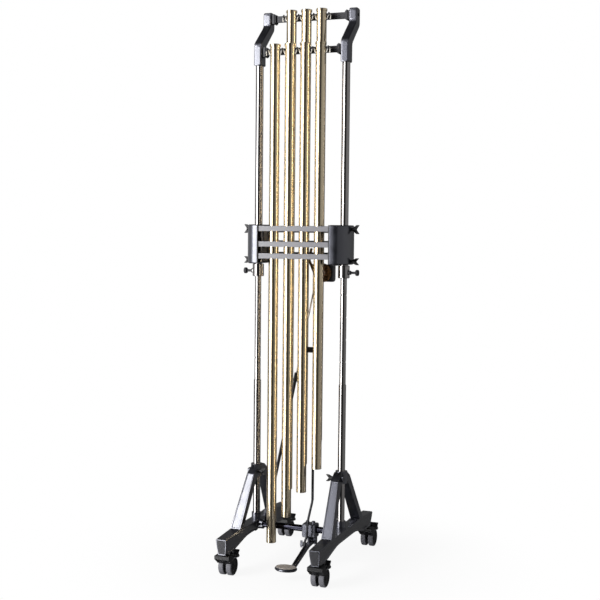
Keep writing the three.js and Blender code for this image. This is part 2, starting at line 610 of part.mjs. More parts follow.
function rail(bellCount) {
  const end = bracketInnerX - GAP;
  const blockStart = end - RAIL_BLOCK_LENGTH;
  const bar = alongX(centredBlock(RAIL_HEIGHT, RAIL_DEPTH), -blockStart, blockStart, RAIL_EDGE);
  const blockShape = centredBlock(RAIL_BLOCK_HEIGHT, RAIL_BLOCK_DEPTH);
  const block = alongX(blockShape, blockStart - RAIL_EDGE, end, RAIL_EDGE);
  const flangeStart = blockStart + RAIL_FLANGE_LENGTH;
  const flange = alongX(
    centredBlock(RAIL_FLANGE_HEIGHT, RAIL_FLANGE_DEPTH), flangeStart, flangeStart + RAIL_FLANGE_LENGTH);
  const parts = [block, mirrored(block), flange, mirrored(flange)];
  for (let i = 0; i <= bellCount; i += 1) {
    const x = (i - bellCount / 2) * BELL_PITCH;
    const tipY = -(PEG_REACH + CORD_RADIUS + CORD_LIFT + PEG_TIP_RADIUS);
    parts.push(rodBetween(PEG_RADIUS, [x, 0, pegZ], [x, tipY - PEG_RADIUS, pegZ], SMALL_ROUND));
    parts.push(rodBetween(PEG_TIP_RADIUS, [x, tipY, pegZ], [x, tipY, pegZ + PEG_TIP_RISE], SMALL_ROUND / 2));
  }
  return join(bar, ...parts);
}
addPiece('front_rail', rail(frontBellCount), blackSteel).position.set(0, 0, FRONT_RAIL_Z);
addPiece('rear_rail', rail(rearBellCount), blackSteel).position.set(0, RAIL_SETBACK, REAR_RAIL_Z);

// Suspension cords: over a peg, down through the next bell, up over the next peg
function rowCord(bellCount, pegHeight, holeHeight) {
  const over = PEG_RADIUS + CORD_RADIUS + CORD_LIFT;
  const points = [];
  const add = (x, z) => points.push(new THREE.Vector3(x, 0, z));
  const firstPeg = (-bellCount / 2) * BELL_PITCH;
  add(firstPeg - over, pegHeight - CORD_TAIL);
  for (let i = 0; i <= bellCount; i += 1) {
    const pegX = firstPeg + i * BELL_PITCH;
    for (let k = 0; k < CORD_ARC_POINTS; k += 1) {
      const lean = i === 0 || i === bellCount ? 0.5 : 0.32;
      const angle = Math.PI * (0.5 + lean * (1 - (2 * k) / (CORD_ARC_POINTS - 1)));
      add(pegX + over * Math.cos(angle), pegHeight + over * Math.sin(angle));
    }
    if (i < bellCount) {
      const bellX = pegX + BELL_PITCH / 2;
      const outside = BELL_OUTER_RADIUS + CORD_STRAIGHT;
      [-outside, -BELL_OUTER_RADIUS + BELL_WALL, 0, BELL_OUTER_RADIUS - BELL_WALL, outside]
        .forEach((dx) => add(bellX + dx, holeHeight));
    }
  }
  add(firstPeg + bellCount * BELL_PITCH + over, pegHeight - CORD_TAIL);
  const route = new THREE.CatmullRomCurve3(points, false, 'centripetal');
  return sweep(route, CORD_RADIUS, CORD_SIDES, Math.round(route.getLength() / CORD_STEP));
}
const cordRows = [
  ['front_row_cord', frontBellCount, frontRowY, FRONT_RAIL_Z, FRONT_BELL_TOP],
  ['rear_row_cord', rearBellCount, rearRowY, REAR_RAIL_Z, REAR_BELL_TOP],
];
for (const [name, count, y, railZ, bellTop] of cordRows) {
  addPiece(name, rowCord(count, railZ + pegZ, bellTop - BELL_HOLE_DEPTH), cordFibre).position.y = y;
}

// Top brackets: a bent casting on the post's spigot that carries both rails
function topBracket() {
  const half = BRACKET_DEPTH / 2;
  const headFront = RAIL_SETBACK - BRACKET_HEAD_DEPTH / 2;
  const headBack = RAIL_SETBACK + BRACKET_HEAD_DEPTH / 2;
  const arm = alongX(outline([
    [-half, UPPER_POST_SHOULDER], [half, UPPER_POST_SHOULDER],
    [half, BRACKET_LOWER_BEND - BRACKET_BEND_DROP, BRACKET_ROUNDING],
    [headBack, BRACKET_UPPER_BEND - BRACKET_BEND_DROP, BRACKET_ROUNDING],
    [headBack, BRACKET_TOP, BRACKET_ROUNDING], [headFront, BRACKET_TOP, BRACKET_ROUNDING],
    [headFront, BRACKET_UPPER_BEND, BRACKET_ROUNDING], [-half, BRACKET_LOWER_BEND, BRACKET_ROUNDING],
  ]), bracketInnerX, bracketInnerX + BRACKET_WIDTH, BRACKET_EDGE, 2);
  const screwZ = UPPER_POST_SHOULDER + BRACKET_SCREW_RISE;
  const screw = rodBetween(
    BRACKET_SCREW_RADIUS, [POST_X, half - OVERRUN, screwZ], [POST_X, half + BRACKET_SCREW_REACH, screwZ]);
  const bore = rodBetween(
    SPIGOT_RADIUS + GAP, [POST_X, 0, UPPER_POST_SHOULDER - OVERRUN],
    [POST_X, 0, UPPER_POST_SHOULDER + SPIGOT_LENGTH + GAP], ROUND);
  return cut(join(arm, screw), bore);
}

// Upper posts: tube over the notched post, shouldered spigot into the bracket
const highestSlide = NOTCHES_ABOVE * NOTCH_PITCH;
function upperPost() {
  const bore = NOTCHED_POST_RADIUS + GAP;
  const boreTop = NOTCHED_POST_TOP + SLIDE_HEADROOM;
  const top = UPPER_POST_SHOULDER - GAP;
  const tube = turnedZ([
    [0, boreTop], [bore, boreTop], [bore, UPPER_POST_BOTTOM], [UPPER_POST_RADIUS, UPPER_POST_BOTTOM],
    [UPPER_POST_RADIUS, top], [SPIGOT_RADIUS, top], [SPIGOT_RADIUS, top + SPIGOT_LENGTH - GAP],
    [0, top + SPIGOT_LENGTH - GAP],
  ]);
  const holeEnd = [UPPER_POST_RADIUS + OVERRUN, 0, INDEX_HEIGHT];
  const hole = rodBetween(PLUNGER_RADIUS + GAP, [0, 0, INDEX_HEIGHT], holeEnd);
  return cut(tube, hole).translate(POST_X, 0, 0);
}

// Lower posts: stout foot tube and the slimmer tube with the index notches turned into it
function notchedPost() {
  const profile = [
    [0, LOWER_POST_FOOT], [LOWER_POST_RADIUS, LOWER_POST_FOOT],
    [LOWER_POST_RADIUS, LOWER_POST_TOP - POST_END_CHAMFER],
    [LOWER_POST_RADIUS - POST_END_CHAMFER + GAP, LOWER_POST_TOP], [NOTCHED_POST_RADIUS, LOWER_POST_TOP],
  ];
  for (let i = -NOTCHES_BELOW; i <= NOTCHES_ABOVE; i += 1) {
    const z = INDEX_HEIGHT + i * NOTCH_PITCH;
    profile.push(
      [NOTCHED_POST_RADIUS, z - NOTCH_HEIGHT / 2], [NOTCHED_POST_RADIUS - NOTCH_DEPTH, z],
      [NOTCHED_POST_RADIUS, z + NOTCH_HEIGHT / 2]);
  }
  profile.push([NOTCHED_POST_RADIUS, NOTCHED_POST_TOP], [0, NOTCHED_POST_TOP]);
  return turnedZ(profile).translate(POST_X, 0, 0);
}

// Post collars: sleeve over the end of the upper post with the boss of the index plunger
function postCollar() {
  const inner = UPPER_POST_RADIUS + GAP;
  const lip = NOTCHED_POST_RADIUS + GAP;
  const lipTop = UPPER_POST_BOTTOM - GAP;
  const sleeve = turnedZ([
    [lip, COLLAR_BOTTOM], [COLLAR_RADIUS - COLLAR_CHAMFER, COLLAR_BOTTOM],
    [COLLAR_RADIUS, COLLAR_BOTTOM + COLLAR_CHAMFER], [COLLAR_RADIUS, COLLAR_TOP - COLLAR_CHAMFER],
    [COLLAR_RADIUS - COLLAR_CHAMFER, COLLAR_TOP], [inner, COLLAR_TOP],
    [inner, lipTop], [lip, lipTop], [lip, COLLAR_BOTTOM],
  ]);
  const bossStart = [inner + COLLAR_WALL / 2, 0, INDEX_HEIGHT];
  const boss = rodBetween(BOSS_RADIUS, bossStart, [BOSS_REACH, 0, INDEX_HEIGHT]);
  const reach = BOSS_REACH + OVERRUN;
  const bore = rodBetween(PLUNGER_RADIUS + GAP, [0, 0, INDEX_HEIGHT], [reach, 0, INDEX_HEIGHT]);
  return cut(join(sleeve, boss), bore).translate(POST_X, 0, 0);
}

// Index plungers: pin into the notch, flange, waist and pull head
function indexPlunger() {
  const tip = NOTCHED_POST_RADIUS + GAP;
  const flange = BOSS_REACH + GAP;
  const waist = flange + PLUNGER_FLANGE;
  const head = waist + PLUNGER_WAIST;
  const end = head + PLUNGER_HEAD;
  return turnedX([
    [0, tip], [PLUNGER_RADIUS, tip], [PLUNGER_RADIUS, flange], [PLUNGER_FLANGE_RADIUS, flange],
    [PLUNGER_FLANGE_RADIUS, waist], [PLUNGER_WAIST_RADIUS, waist + PLUNGER_EDGE],
    [PLUNGER_WAIST_RADIUS, head - PLUNGER_EDGE], [PLUNGER_HEAD_RADIUS, head + PLUNGER_EDGE],
    [PLUNGER_HEAD_RADIUS, end - PLUNGER_EDGE], [PLUNGER_HEAD_RADIUS - PLUNGER_EDGE, end], [0, end],
  ]).translate(POST_X, 0, INDEX_HEIGHT);
}

// Wing knob along +X: screw from x = 0, hub and two flared wings beyond the standoff
function wingKnob(screwLength, span) {
  const hubEnd = screwLength + KNOB_HUB_LENGTH;
  const hub = turnedX([
    [0, 0], [KNOB_SCREW_RADIUS, 0], [KNOB_SCREW_RADIUS, screwLength], [KNOB_HUB_RADIUS, screwLength],
    [KNOB_HUB_RADIUS, hubEnd], [0, hubEnd],
  ]);
  const wingStart = hubEnd - KNOB_WING_LENGTH;
  const tip = hubEnd + KNOB_WING_FLARE;
  const rounding = KNOB_WING_THICKNESS / 2;
  const wings = alongY(outline([
    [wingStart, -KNOB_HUB_RADIUS], [hubEnd, -span / 2, rounding], [tip, -span / 2, rounding],
    [hubEnd, 0, rounding], [tip, span / 2, rounding], [hubEnd, span / 2, rounding],
    [wingStart, KNOB_HUB_RADIUS],
  ]), -KNOB_WING_THICKNESS / 2, KNOB_WING_THICKNESS / 2, 0, 2);
  return join(hub, wings);
}

// Damper housings: a moulded tray, open towards the bells, that wraps each post
function housingOutline(inset) {
  const flat = HOUSING_INNER_X + HOUSING_FACE;
  const front = -HOUSING_HALF_DEPTH + inset;
  const outer = HOUSING_OUTER_X - inset;
  const pull = HOUSING_HALF_DEPTH * HOUSING_CURVE_SHARE;
  const side = (outer - flat) * HOUSING_CURVE_SHARE;
  const shape = new THREE.Shape();
  const opening = inset > 0 ? HOUSING_INNER_X - OVERRUN : HOUSING_INNER_X;
  shape.moveTo(opening, front);
  shape.lineTo(flat, front);
  shape.bezierCurveTo(flat + side, front, outer, -pull, outer, 0);
  shape.bezierCurveTo(outer, pull, flat + side, -front, flat, -front);
  shape.lineTo(opening, -front);
  shape.closePath();
  return shape;
}

const barBack = HOUSING_HALF_DEPTH - HOUSING_WALL - GAP; // outer face of every bar
function damperHousing() {
  const shell = alongZ(housingOutline(0), HOUSING_BOTTOM, HOUSING_TOP, HOUSING_EDGE, HOUSING_CURVE_STEPS);
  const hollow = alongZ(
    housingOutline(HOUSING_WALL), HOUSING_BOTTOM + HOUSING_WALL, HOUSING_TOP - HOUSING_WALL, 0,
    HOUSING_CURVE_STEPS);
  const postHole = rodBetween(
    UPPER_POST_RADIUS + GAP,
    [POST_X, 0, HOUSING_BOTTOM - OVERRUN],
    [POST_X, 0, HOUSING_TOP + OVERRUN],
    ROUND);
  const screwHoles = [UPPER_KNOB_Z, LOWER_KNOB_Z].map((z) => rodBetween(
    KNOB_SCREW_RADIUS + GAP, [POST_X + UPPER_POST_RADIUS, 0, z], [HOUSING_OUTER_X + OVERRUN, 0, z]));
  const wallInside = HOUSING_HALF_DEPTH - HOUSING_WALL / 2;
  const pinEnd = HOUSING_HALF_DEPTH - GUIDE_PIN_LENGTH;
  const guidePins = [-1, 1].map((row) => rodBetween(
    GUIDE_PIN_RADIUS,
    [GUIDE_PIN_X, row * wallInside, DAMPER_BAR_Z],
    [GUIDE_PIN_X, row * pinEnd, DAMPER_BAR_Z]));
  return join(cut(shell, hollow, postHole, ...screwHoles), ...guidePins);
}

// Fixed bars: flat bars whose ends sit behind the housings' front or rear walls
function fixedBar(row, z, height) {
  const end = HOUSING_INNER_X + BAR_TAB;
  const [near, far] = [barBack - BAR_THICKNESS, barBack].map((y) => row * y).sort((a, b) => a - b);
  return box(-end, end, near, far, z - height / 2, z + height / 2);
}

// Moving bars: metal bar, felt towards the bells, a guide block on a pin at each end
function damperBar(row, bellFace, height) {
  const end = HOUSING_INNER_X - GAP;
  const feltFace = Math.abs(bellFace) + FELT_CLEARANCE;
  const [near, far] = [feltFace, barBack].map((y) => row * y).sort((a, b) => a - b);
  const z0 = DAMPER_BAR_Z - height / 2;
  const bar = box(-end, end, near, far, z0, z0 + height);
  const blockFaces = [barBack - GUIDE_BLOCK_DEPTH, barBack].map((y) => row * y);
  const [blockNear, blockFar] = blockFaces.sort((a, b) => a - b);
  const blockZ = DAMPER_BAR_Z - GUIDE_BLOCK_HEIGHT / 2;
  const blockEnd = GUIDE_PIN_X + GUIDE_BLOCK_WIDTH / 2;
  const blockStart = end - GUIDE_BLOCK_WIDTH / 2;
  const block = box(blockStart, blockEnd, blockNear, blockFar, blockZ, blockZ + GUIDE_BLOCK_HEIGHT);
  const bore = rodBetween(
    GUIDE_PIN_RADIUS + RUNNING_GAP, [GUIDE_PIN_X, row * (HOUSING_HALF_DEPTH + OVERRUN), DAMPER_BAR_Z],
    [GUIDE_PIN_X, 0, DAMPER_BAR_Z]);
  return cut(join(bar, block, mirrored(block)), bore, mirrored(bore));
}

for (const [side, sign] of SIDES) {
  addPiece(`${side}_upper_post`, onSide(sign, upperPost()), chrome);
  addPiece(`${side}_notched_post`, onSide(sign, notchedPost()), chrome);
  addPiece(`${side}_post_collar`, onSide(sign, postCollar()), chrome);
  addPiece(`${side}_index_plunger`, onSide(sign, indexPlunger()), blackSteel);
  addPiece(`${side}_top_bracket`, onSide(sign, topBracket()), blackCasting);
  addPiece(`${side}_damper_housing`, onSide(sign, damperHousing()), blackCasting);
  const screwTip = POST_X + UPPER_POST_RADIUS + GAP;
  const screwLength = HOUSING_OUTER_X + KNOB_STANDOFF - screwTip;
  const knobs = [['upper', UPPER_KNOB_Z, KNOB_WING_SPAN], ['lower', LOWER_KNOB_Z, LOWER_KNOB_SPAN]];
  for (const [level, z, span] of knobs) {
    const knob = wingKnob(screwLength, span).translate(screwTip, 0, z);
    addPiece(`${side}_${level}_knob`, onSide(sign, knob), moulding);
  }
}

const frontBellFace = frontRowY - BELL_OUTER_RADIUS;
const rearBellFace = rearRowY + BELL_OUTER_RADIUS;
addPiece('front_top_bar', fixedBar(-1, TOP_BAR_Z, BAR_HEIGHT), greyBar);
addPiece('front_damper_bar', damperBar(-1, frontBellFace, BAR_HEIGHT), greyBar);
addPiece('front_bottom_bar', fixedBar(-1, BOTTOM_BAR_Z, BAR_HEIGHT), greyBar);
const rearBarHeight = BAR_HEIGHT + REAR_BAR_EXTRA;
const rearTopBarZ = HOUSING_TOP - HOUSING_WALL - GAP - rearBarHeight / 2;
addPiece('rear_top_bar', fixedBar(1, rearTopBarZ, rearBarHeight), blackSteel);
addPiece('rear_damper_bar', damperBar(1, rearBellFace, rearBarHeight), blackSteel);
addPiece('rear_bottom_bar', fixedBar(1, BOTTOM_BAR_Z, rearBarHeight), blackSteel);

// Crank plate: hangs under the right housing between the two rows of bells
const plateBack = CRANK_Y + GAP + PLATE_THICKNESS;
const flangeTop = HOUSING_BOTTOM - GAP;
function crankPlate() {
  const front = CRANK_Y + GAP;
  const plate = alongY(outline([
    [PLATE_LEFT, PLATE_BOTTOM, PLATE_ROUNDING], [PLATE_RIGHT, PLATE_BOTTOM, PLATE_ROUNDING],
    [PLATE_RIGHT, flangeTop], [TONGUE_LEFT, flangeTop, PLATE_THICKNESS],
    [TONGUE_LEFT, TONGUE_BOTTOM, PLATE_THICKNESS], [PLATE_LEFT, TONGUE_BOTTOM],
  ]), front, plateBack);
  const middle = (front + plateBack) / 2;
  const flangeStart = CRANK_X + CRANK_DISC_RADIUS + PLATE_FLANGE_MARGIN;
  const flange = box(
    flangeStart, PLATE_FLANGE_REACH, middle - PLATE_FLANGE_DEPTH / 2,
    middle + PLATE_FLANGE_DEPTH / 2, flangeTop - PLATE_FLANGE_THICKNESS, flangeTop);
  const axle = rodBetween(CRANK_BORE - RUNNING_GAP, [CRANK_X, middle, CRANK_Z],
    [CRANK_X, CRANK_Y - CRANK_THICKNESS, CRANK_Z]);
  const stayPin = rodBetween(STAY_PIN_RADIUS, [STAY_HEAD_X, middle, STAY_HEAD_Z],
    [STAY_HEAD_X, STAY_Y + STAY_ROD_RADIUS + GAP, STAY_HEAD_Z]);
  return join(plate, flange, axle, stayPin);
}
addPiece('crank_plate', crankPlate(), blackSteel);

// Crank: disc on the plate's axle, arm to the pull rod, finger up to the felt bars
function damperCrank() {
  const back = CRANK_Y;
  const front = CRANK_Y - CRANK_THICKNESS;
  const wheel = rodBetween(CRANK_DISC_RADIUS, [CRANK_X, front, CRANK_Z], [CRANK_X, back, CRANK_Z], DISC_ROUND);
  const recess = rodBetween(CRANK_DISC_RADIUS - CRANK_RIM, [CRANK_X, front - OVERRUN, CRANK_Z],
    [CRANK_X, front + CRANK_FACE_DEPTH, CRANK_Z], DISC_ROUND);
  const disc = cut(wheel, recess);
  const half = CRANK_ARM_WIDTH / 2;
  const fingerX = ROD_X + CRANK_FINGER_SHIFT;
  const fingerTop = CRANK_Z + CRANK_FINGER_RISE;
  const arm = alongY(outline([
    [CRANK_X, CRANK_Z - half], [ROD_X - half, CRANK_Z - half, half / 2],
    [fingerX - CRANK_FINGER_WIDTH, CRANK_Z + CRANK_FINGER_RISE / 2, half],
    [fingerX, fingerTop, CRANK_FINGER_WIDTH / 4],
    [fingerX + CRANK_FINGER_WIDTH, fingerTop, CRANK_FINGER_WIDTH / 4],
    [fingerX, CRANK_Z + CRANK_FINGER_RISE / 2, half],
    [ROD_X, CRANK_Z + half, half / 2],
    [CRANK_X, CRANK_Z + half],
  ]), front, back, 0, 2);
  const pinEnd = ROD_Y - ROD_EYE_LENGTH / 2;
  const pin = rodBetween(CRANK_PIN_RADIUS, [ROD_X, (front + back) / 2, CRANK_Z], [ROD_X, pinEnd, CRANK_Z]);
  const boreStart = [CRANK_X, front - OVERRUN, CRANK_Z];
  const bore = rodBetween(CRANK_BORE, boreStart, [CRANK_X, back + OVERRUN, CRANK_Z]);
  return cut(join(disc, arm, pin), bore);
}
addPiece('damper_crank', damperCrank(), passivatedSteel);

// Pull rods: the upper rod hangs on the crank and slides in the lower one, which stands on the pedal
const couplerTop = COUPLER_Z + COUPLER_HEIGHT;
function upperPullRod() {
  const foot = couplerTop - UPPER_ROD_DEPTH;
  const rod = rodBetween(UPPER_ROD_RADIUS, [ROD_X, ROD_Y, foot], [ROD_X, ROD_Y, CRANK_Z]);
  const half = ROD_EYE_LENGTH / 2;
  const eye = rodBetween(ROD_EYE_RADIUS, [ROD_X, ROD_Y - half, CRANK_Z], [ROD_X, ROD_Y + half, CRANK_Z]);
  const bore = rodBetween(CRANK_PIN_RADIUS + ROD_EYE_PLAY,
    [ROD_X, ROD_Y - half - OVERRUN, CRANK_Z], [ROD_X, ROD_Y + half + OVERRUN, CRANK_Z]);
  return cut(join(rod, eye), bore);
}
addPiece('upper_pull_rod', upperPullRod(), blackSteel);

const armLeft = PEDAL_X - PEDAL_ARM_WIDTH / 2;
const eyeRight = armLeft - GAP;
function lowerPullRod() {
  const straight = rodBetween(LOWER_ROD_RADIUS, [ROD_X, ROD_Y, ROD_BEND_Z], [ROD_X, ROD_Y, couplerTop]);
  const coupler = alongZ(outline([
    [ROD_X - COUPLER_WIDTH / 2 - COUPLER_ARM, ROD_Y - COUPLER_FRONT, OVERRUN],
    [ROD_X + COUPLER_WIDTH / 2, ROD_Y - COUPLER_FRONT, OVERRUN],
    [ROD_X + COUPLER_WIDTH / 2, ROD_Y + COUPLER_BACK, OVERRUN],
    [ROD_X - COUPLER_WIDTH / 2 - COUPLER_ARM, ROD_Y + COUPLER_BACK, OVERRUN],
  ]), COUPLER_Z, couplerTop);
  const eyeX = eyeRight - FOOT_EYE_LENGTH / 2;
  const lowX = (ROD_X + eyeX) / 2;
  const bent = new THREE.CatmullRomCurve3([
    new THREE.Vector3(ROD_X, ROD_Y, ROD_BEND_Z + ROD_STEP), new THREE.Vector3(ROD_X, ROD_Y, ROD_BEND_Z),
    new THREE.Vector3(lowX, (ROD_Y + 3 * STUB_Y) / 4, (ROD_BEND_Z + STUB_Z) / 2),
    new THREE.Vector3(lowX, STUB_Y, STUB_Z + 3 * ROD_STEP),
    new THREE.Vector3(eyeX, STUB_Y, STUB_Z + LOWER_ROD_RADIUS),
  ], false, 'centripetal');
  const steps = Math.round(bent.getLength() / ROD_STEP);
  const shank = sweep(bent, LOWER_ROD_RADIUS - GAP, SMALL_ROUND - 2, steps);
  const eyeStart = [eyeRight - FOOT_EYE_LENGTH, STUB_Y, STUB_Z];
  const eye = rodBetween(ROD_EYE_RADIUS, eyeStart, [eyeRight, STUB_Y, STUB_Z]);
  const eyeBore = rodBetween(STUB_RADIUS + ROD_EYE_PLAY,
    [eyeRight - 2 * FOOT_EYE_LENGTH, STUB_Y, STUB_Z], [eyeRight + OVERRUN, STUB_Y, STUB_Z]);
  const slideBore = rodBetween(UPPER_ROD_RADIUS + GAP,
    [ROD_X, ROD_Y, couplerTop - UPPER_ROD_DEPTH - ROD_BORE_MARGIN], [ROD_X, ROD_Y, couplerTop + OVERRUN]);
  return cut(join(straight, coupler, shank, eye), eyeBore, slideBore);
}
addPiece('lower_pull_rod', lowerPullRod(), blackSteel);

// Stay: a thin rod that slides in a tube; the foot turns on the crossbar's lug
const stayLine = new THREE.Vector3(STAY_HEAD_X - STAY_FOOT_X, 0, STAY_BEND_Z - STAY_FOOT_Z).normalize();
const onStay = (distance) => [
  STAY_FOOT_X + stayLine.x * distance, STAY_Y, STAY_FOOT_Z + stayLine.z * distance];
const stayTubeLength = (STAY_TUBE_SHARE * (STAY_BEND_Z - STAY_FOOT_Z)) / stayLine.z;
function stayTube() {
  const tube = rodBetween(STAY_TUBE_RADIUS, onStay(0), onStay(stayTubeLength));
  const ferruleStart = onStay(stayTubeLength - STAY_FERRULE);
  const ferrule = rodBetween(STAY_FERRULE_RADIUS, ferruleStart, onStay(stayTubeLength));
  const [x, y, z] = onStay(0);
  const eye = rodBetween(STAY_EYE_RADIUS, [x, y - STAY_TUBE_RADIUS, z], [x, y + STAY_TUBE_RADIUS, z]);
  const eyeBore = rodBetween(STAY_PIN_RADIUS + RUNNING_GAP,
    [x, y - 2 * STAY_TUBE_RADIUS, z], [x, y + 2 * STAY_TUBE_RADIUS, z]);
  const bore = rodBetween(STAY_ROD_RADIUS + GAP,
    onStay(stayTubeLength - STAY_ROD_DEPTH - STAY_BORE_MARGIN), onStay(stayTubeLength + OVERRUN));
  return cut(join(tube, ferrule, eye), eyeBore, bore);
}
function stayRod() {
  const bend = onStay((STAY_BEND_Z - STAY_FOOT_Z) / stayLine.z);
  const slanted = rodBetween(STAY_ROD_RADIUS, onStay(stayTubeLength - STAY_ROD_DEPTH), bend);
  const elbow = new THREE.IcosahedronGeometry(STAY_ROD_RADIUS, 1).translate(...bend);
  const upright = rodBetween(STAY_ROD_RADIUS, bend, [STAY_HEAD_X, STAY_Y, STAY_HEAD_Z]);
  const eye = rodBetween(STAY_EYE_RADIUS,
    [STAY_HEAD_X, STAY_Y - STAY_ROD_RADIUS, STAY_HEAD_Z],
    [STAY_HEAD_X, STAY_Y + STAY_ROD_RADIUS, STAY_HEAD_Z]);
  const bore = rodBetween(STAY_PIN_RADIUS + STAY_EYE_PLAY,
    [STAY_HEAD_X, STAY_Y - 2 * STAY_ROD_RADIUS, STAY_HEAD_Z],
    [STAY_HEAD_X, STAY_Y + 2 * STAY_ROD_RADIUS, STAY_HEAD_Z]);
  return cut(join(slanted, elbow, upright, eye), bore);
}
addPiece('stay_tube', stayTube(), blackSteel);
addPiece('stay_rod', stayRod(), brightZinc);

// Crossbar with the upright lug and pin of the stay
function crossbar() {
  const barEnds = [[-CROSSBAR_END_X, 0, CROSSBAR_Z], [CROSSBAR_END_X, 0, CROSSBAR_Z]];
  const bar = rodBetween(CROSSBAR_RADIUS, ...barEnds, ROUND);
  const half = STAY_LUG_WIDTH / 2;
  const lugBack = STAY_Y - STAY_TUBE_RADIUS - GAP;
  const lug = alongY(outline([
    [STAY_FOOT_X - half, CROSSBAR_Z], [STAY_FOOT_X + half, CROSSBAR_Z],
    [STAY_FOOT_X + half, STAY_FOOT_Z + half, half], [STAY_FOOT_X - half, STAY_FOOT_Z + half, half],
  ]), lugBack - STAY_LUG_THICKNESS, lugBack);
  const pin = rodBetween(STAY_PIN_RADIUS, [STAY_FOOT_X, lugBack - STAY_LUG_THICKNESS / 2, STAY_FOOT_Z],
    [STAY_FOOT_X, STAY_Y + STAY_TUBE_RADIUS + GAP, STAY_FOOT_Z]);
  return join(bar, lug, pin);
}
addPiece('base_crossbar', crossbar(), chrome);

// Foot beams: arched casting with a post socket, a crossbar boss and a nose over each caster
function footBeam() {
  const upper = [
    [NOSE_REACH, NOSE_TOP], [LEG_FOOT_OUTER + GAP, BEAM_PAD_TOP], [LEG_FOOT_INNER - GAP, BEAM_PAD_TOP],
    [ARCH_END, BEAM_TOP]];
  const lower = [
    [ARCH_END, BEAM_ARCH, ARCH_END / 4], [ARCH_START + NOSE_FLAT / 2, NOSE_BOTTOM, NOSE_FLAT / 4],
    [NOSE_REACH - NOSE_SLOPE, NOSE_BOTTOM]];
  const flip = (corners) => corners.map(([y, ...rest]) => [-y, ...rest]).reverse();
  const side = alongX(
    outline([...lower, ...upper, ...flip(upper), ...flip(lower)]),
    BASE_X - BEAM_HALF_WIDTH, BASE_X + BEAM_HALF_WIDTH, HOOD_SHELL, 2);
  const draft = alongY(outline([
    [BASE_X - BEAM_FOOT_HALF_WIDTH, NOSE_BOTTOM - OVERRUN],
    [BASE_X + BEAM_FOOT_HALF_WIDTH, NOSE_BOTTOM - OVERRUN],
    [BASE_X + BEAM_HALF_WIDTH, NOSE_TOP], [BASE_X + BEAM_HALF_WIDTH, BEAM_PAD_TOP + OVERRUN],
    [BASE_X - BEAM_HALF_WIDTH, BEAM_PAD_TOP + OVERRUN], [BASE_X - BEAM_HALF_WIDTH, NOSE_TOP],
  ]), -NOSE_REACH - OVERRUN, NOSE_REACH + OVERRUN);
  const bossEnds = [[BEAM_BOSS_END_X, 0, CROSSBAR_Z], [BASE_X, 0, CROSSBAR_Z]];
  const boss = rodBetween(BEAM_BOSS_RADIUS, ...bossEnds, ROUND);
  const socket = rodBetween(SOCKET_RADIUS, [POST_X, 0, BEAM_ARCH + OVERRUN], [POST_X, 0, SOCKET_TOP], ROUND);
  const crossbarBore = rodBetween(CROSSBAR_RADIUS + GAP,
    [BEAM_BOSS_END_X - OVERRUN, 0, CROSSBAR_Z], [CROSSBAR_END_X + GAP, 0, CROSSBAR_Z], ROUND);
  const postBore = rodBetween(LOWER_POST_RADIUS + GAP,
    [POST_X, 0, LOWER_POST_FOOT - GAP], [POST_X, 0, SOCKET_TOP + OVERRUN], ROUND);
  const stemBores = [-CASTER_Y, CASTER_Y].map((y) => rodBetween(STEM_RADIUS + RUNNING_GAP,
    [BASE_X, y, NOSE_BOTTOM - OVERRUN], [BASE_X, y, STEM_TOP + GAP]));
  return cut(join(overlap(side, draft), boss, socket), crossbarBore, postBore, ...stemBores);
}

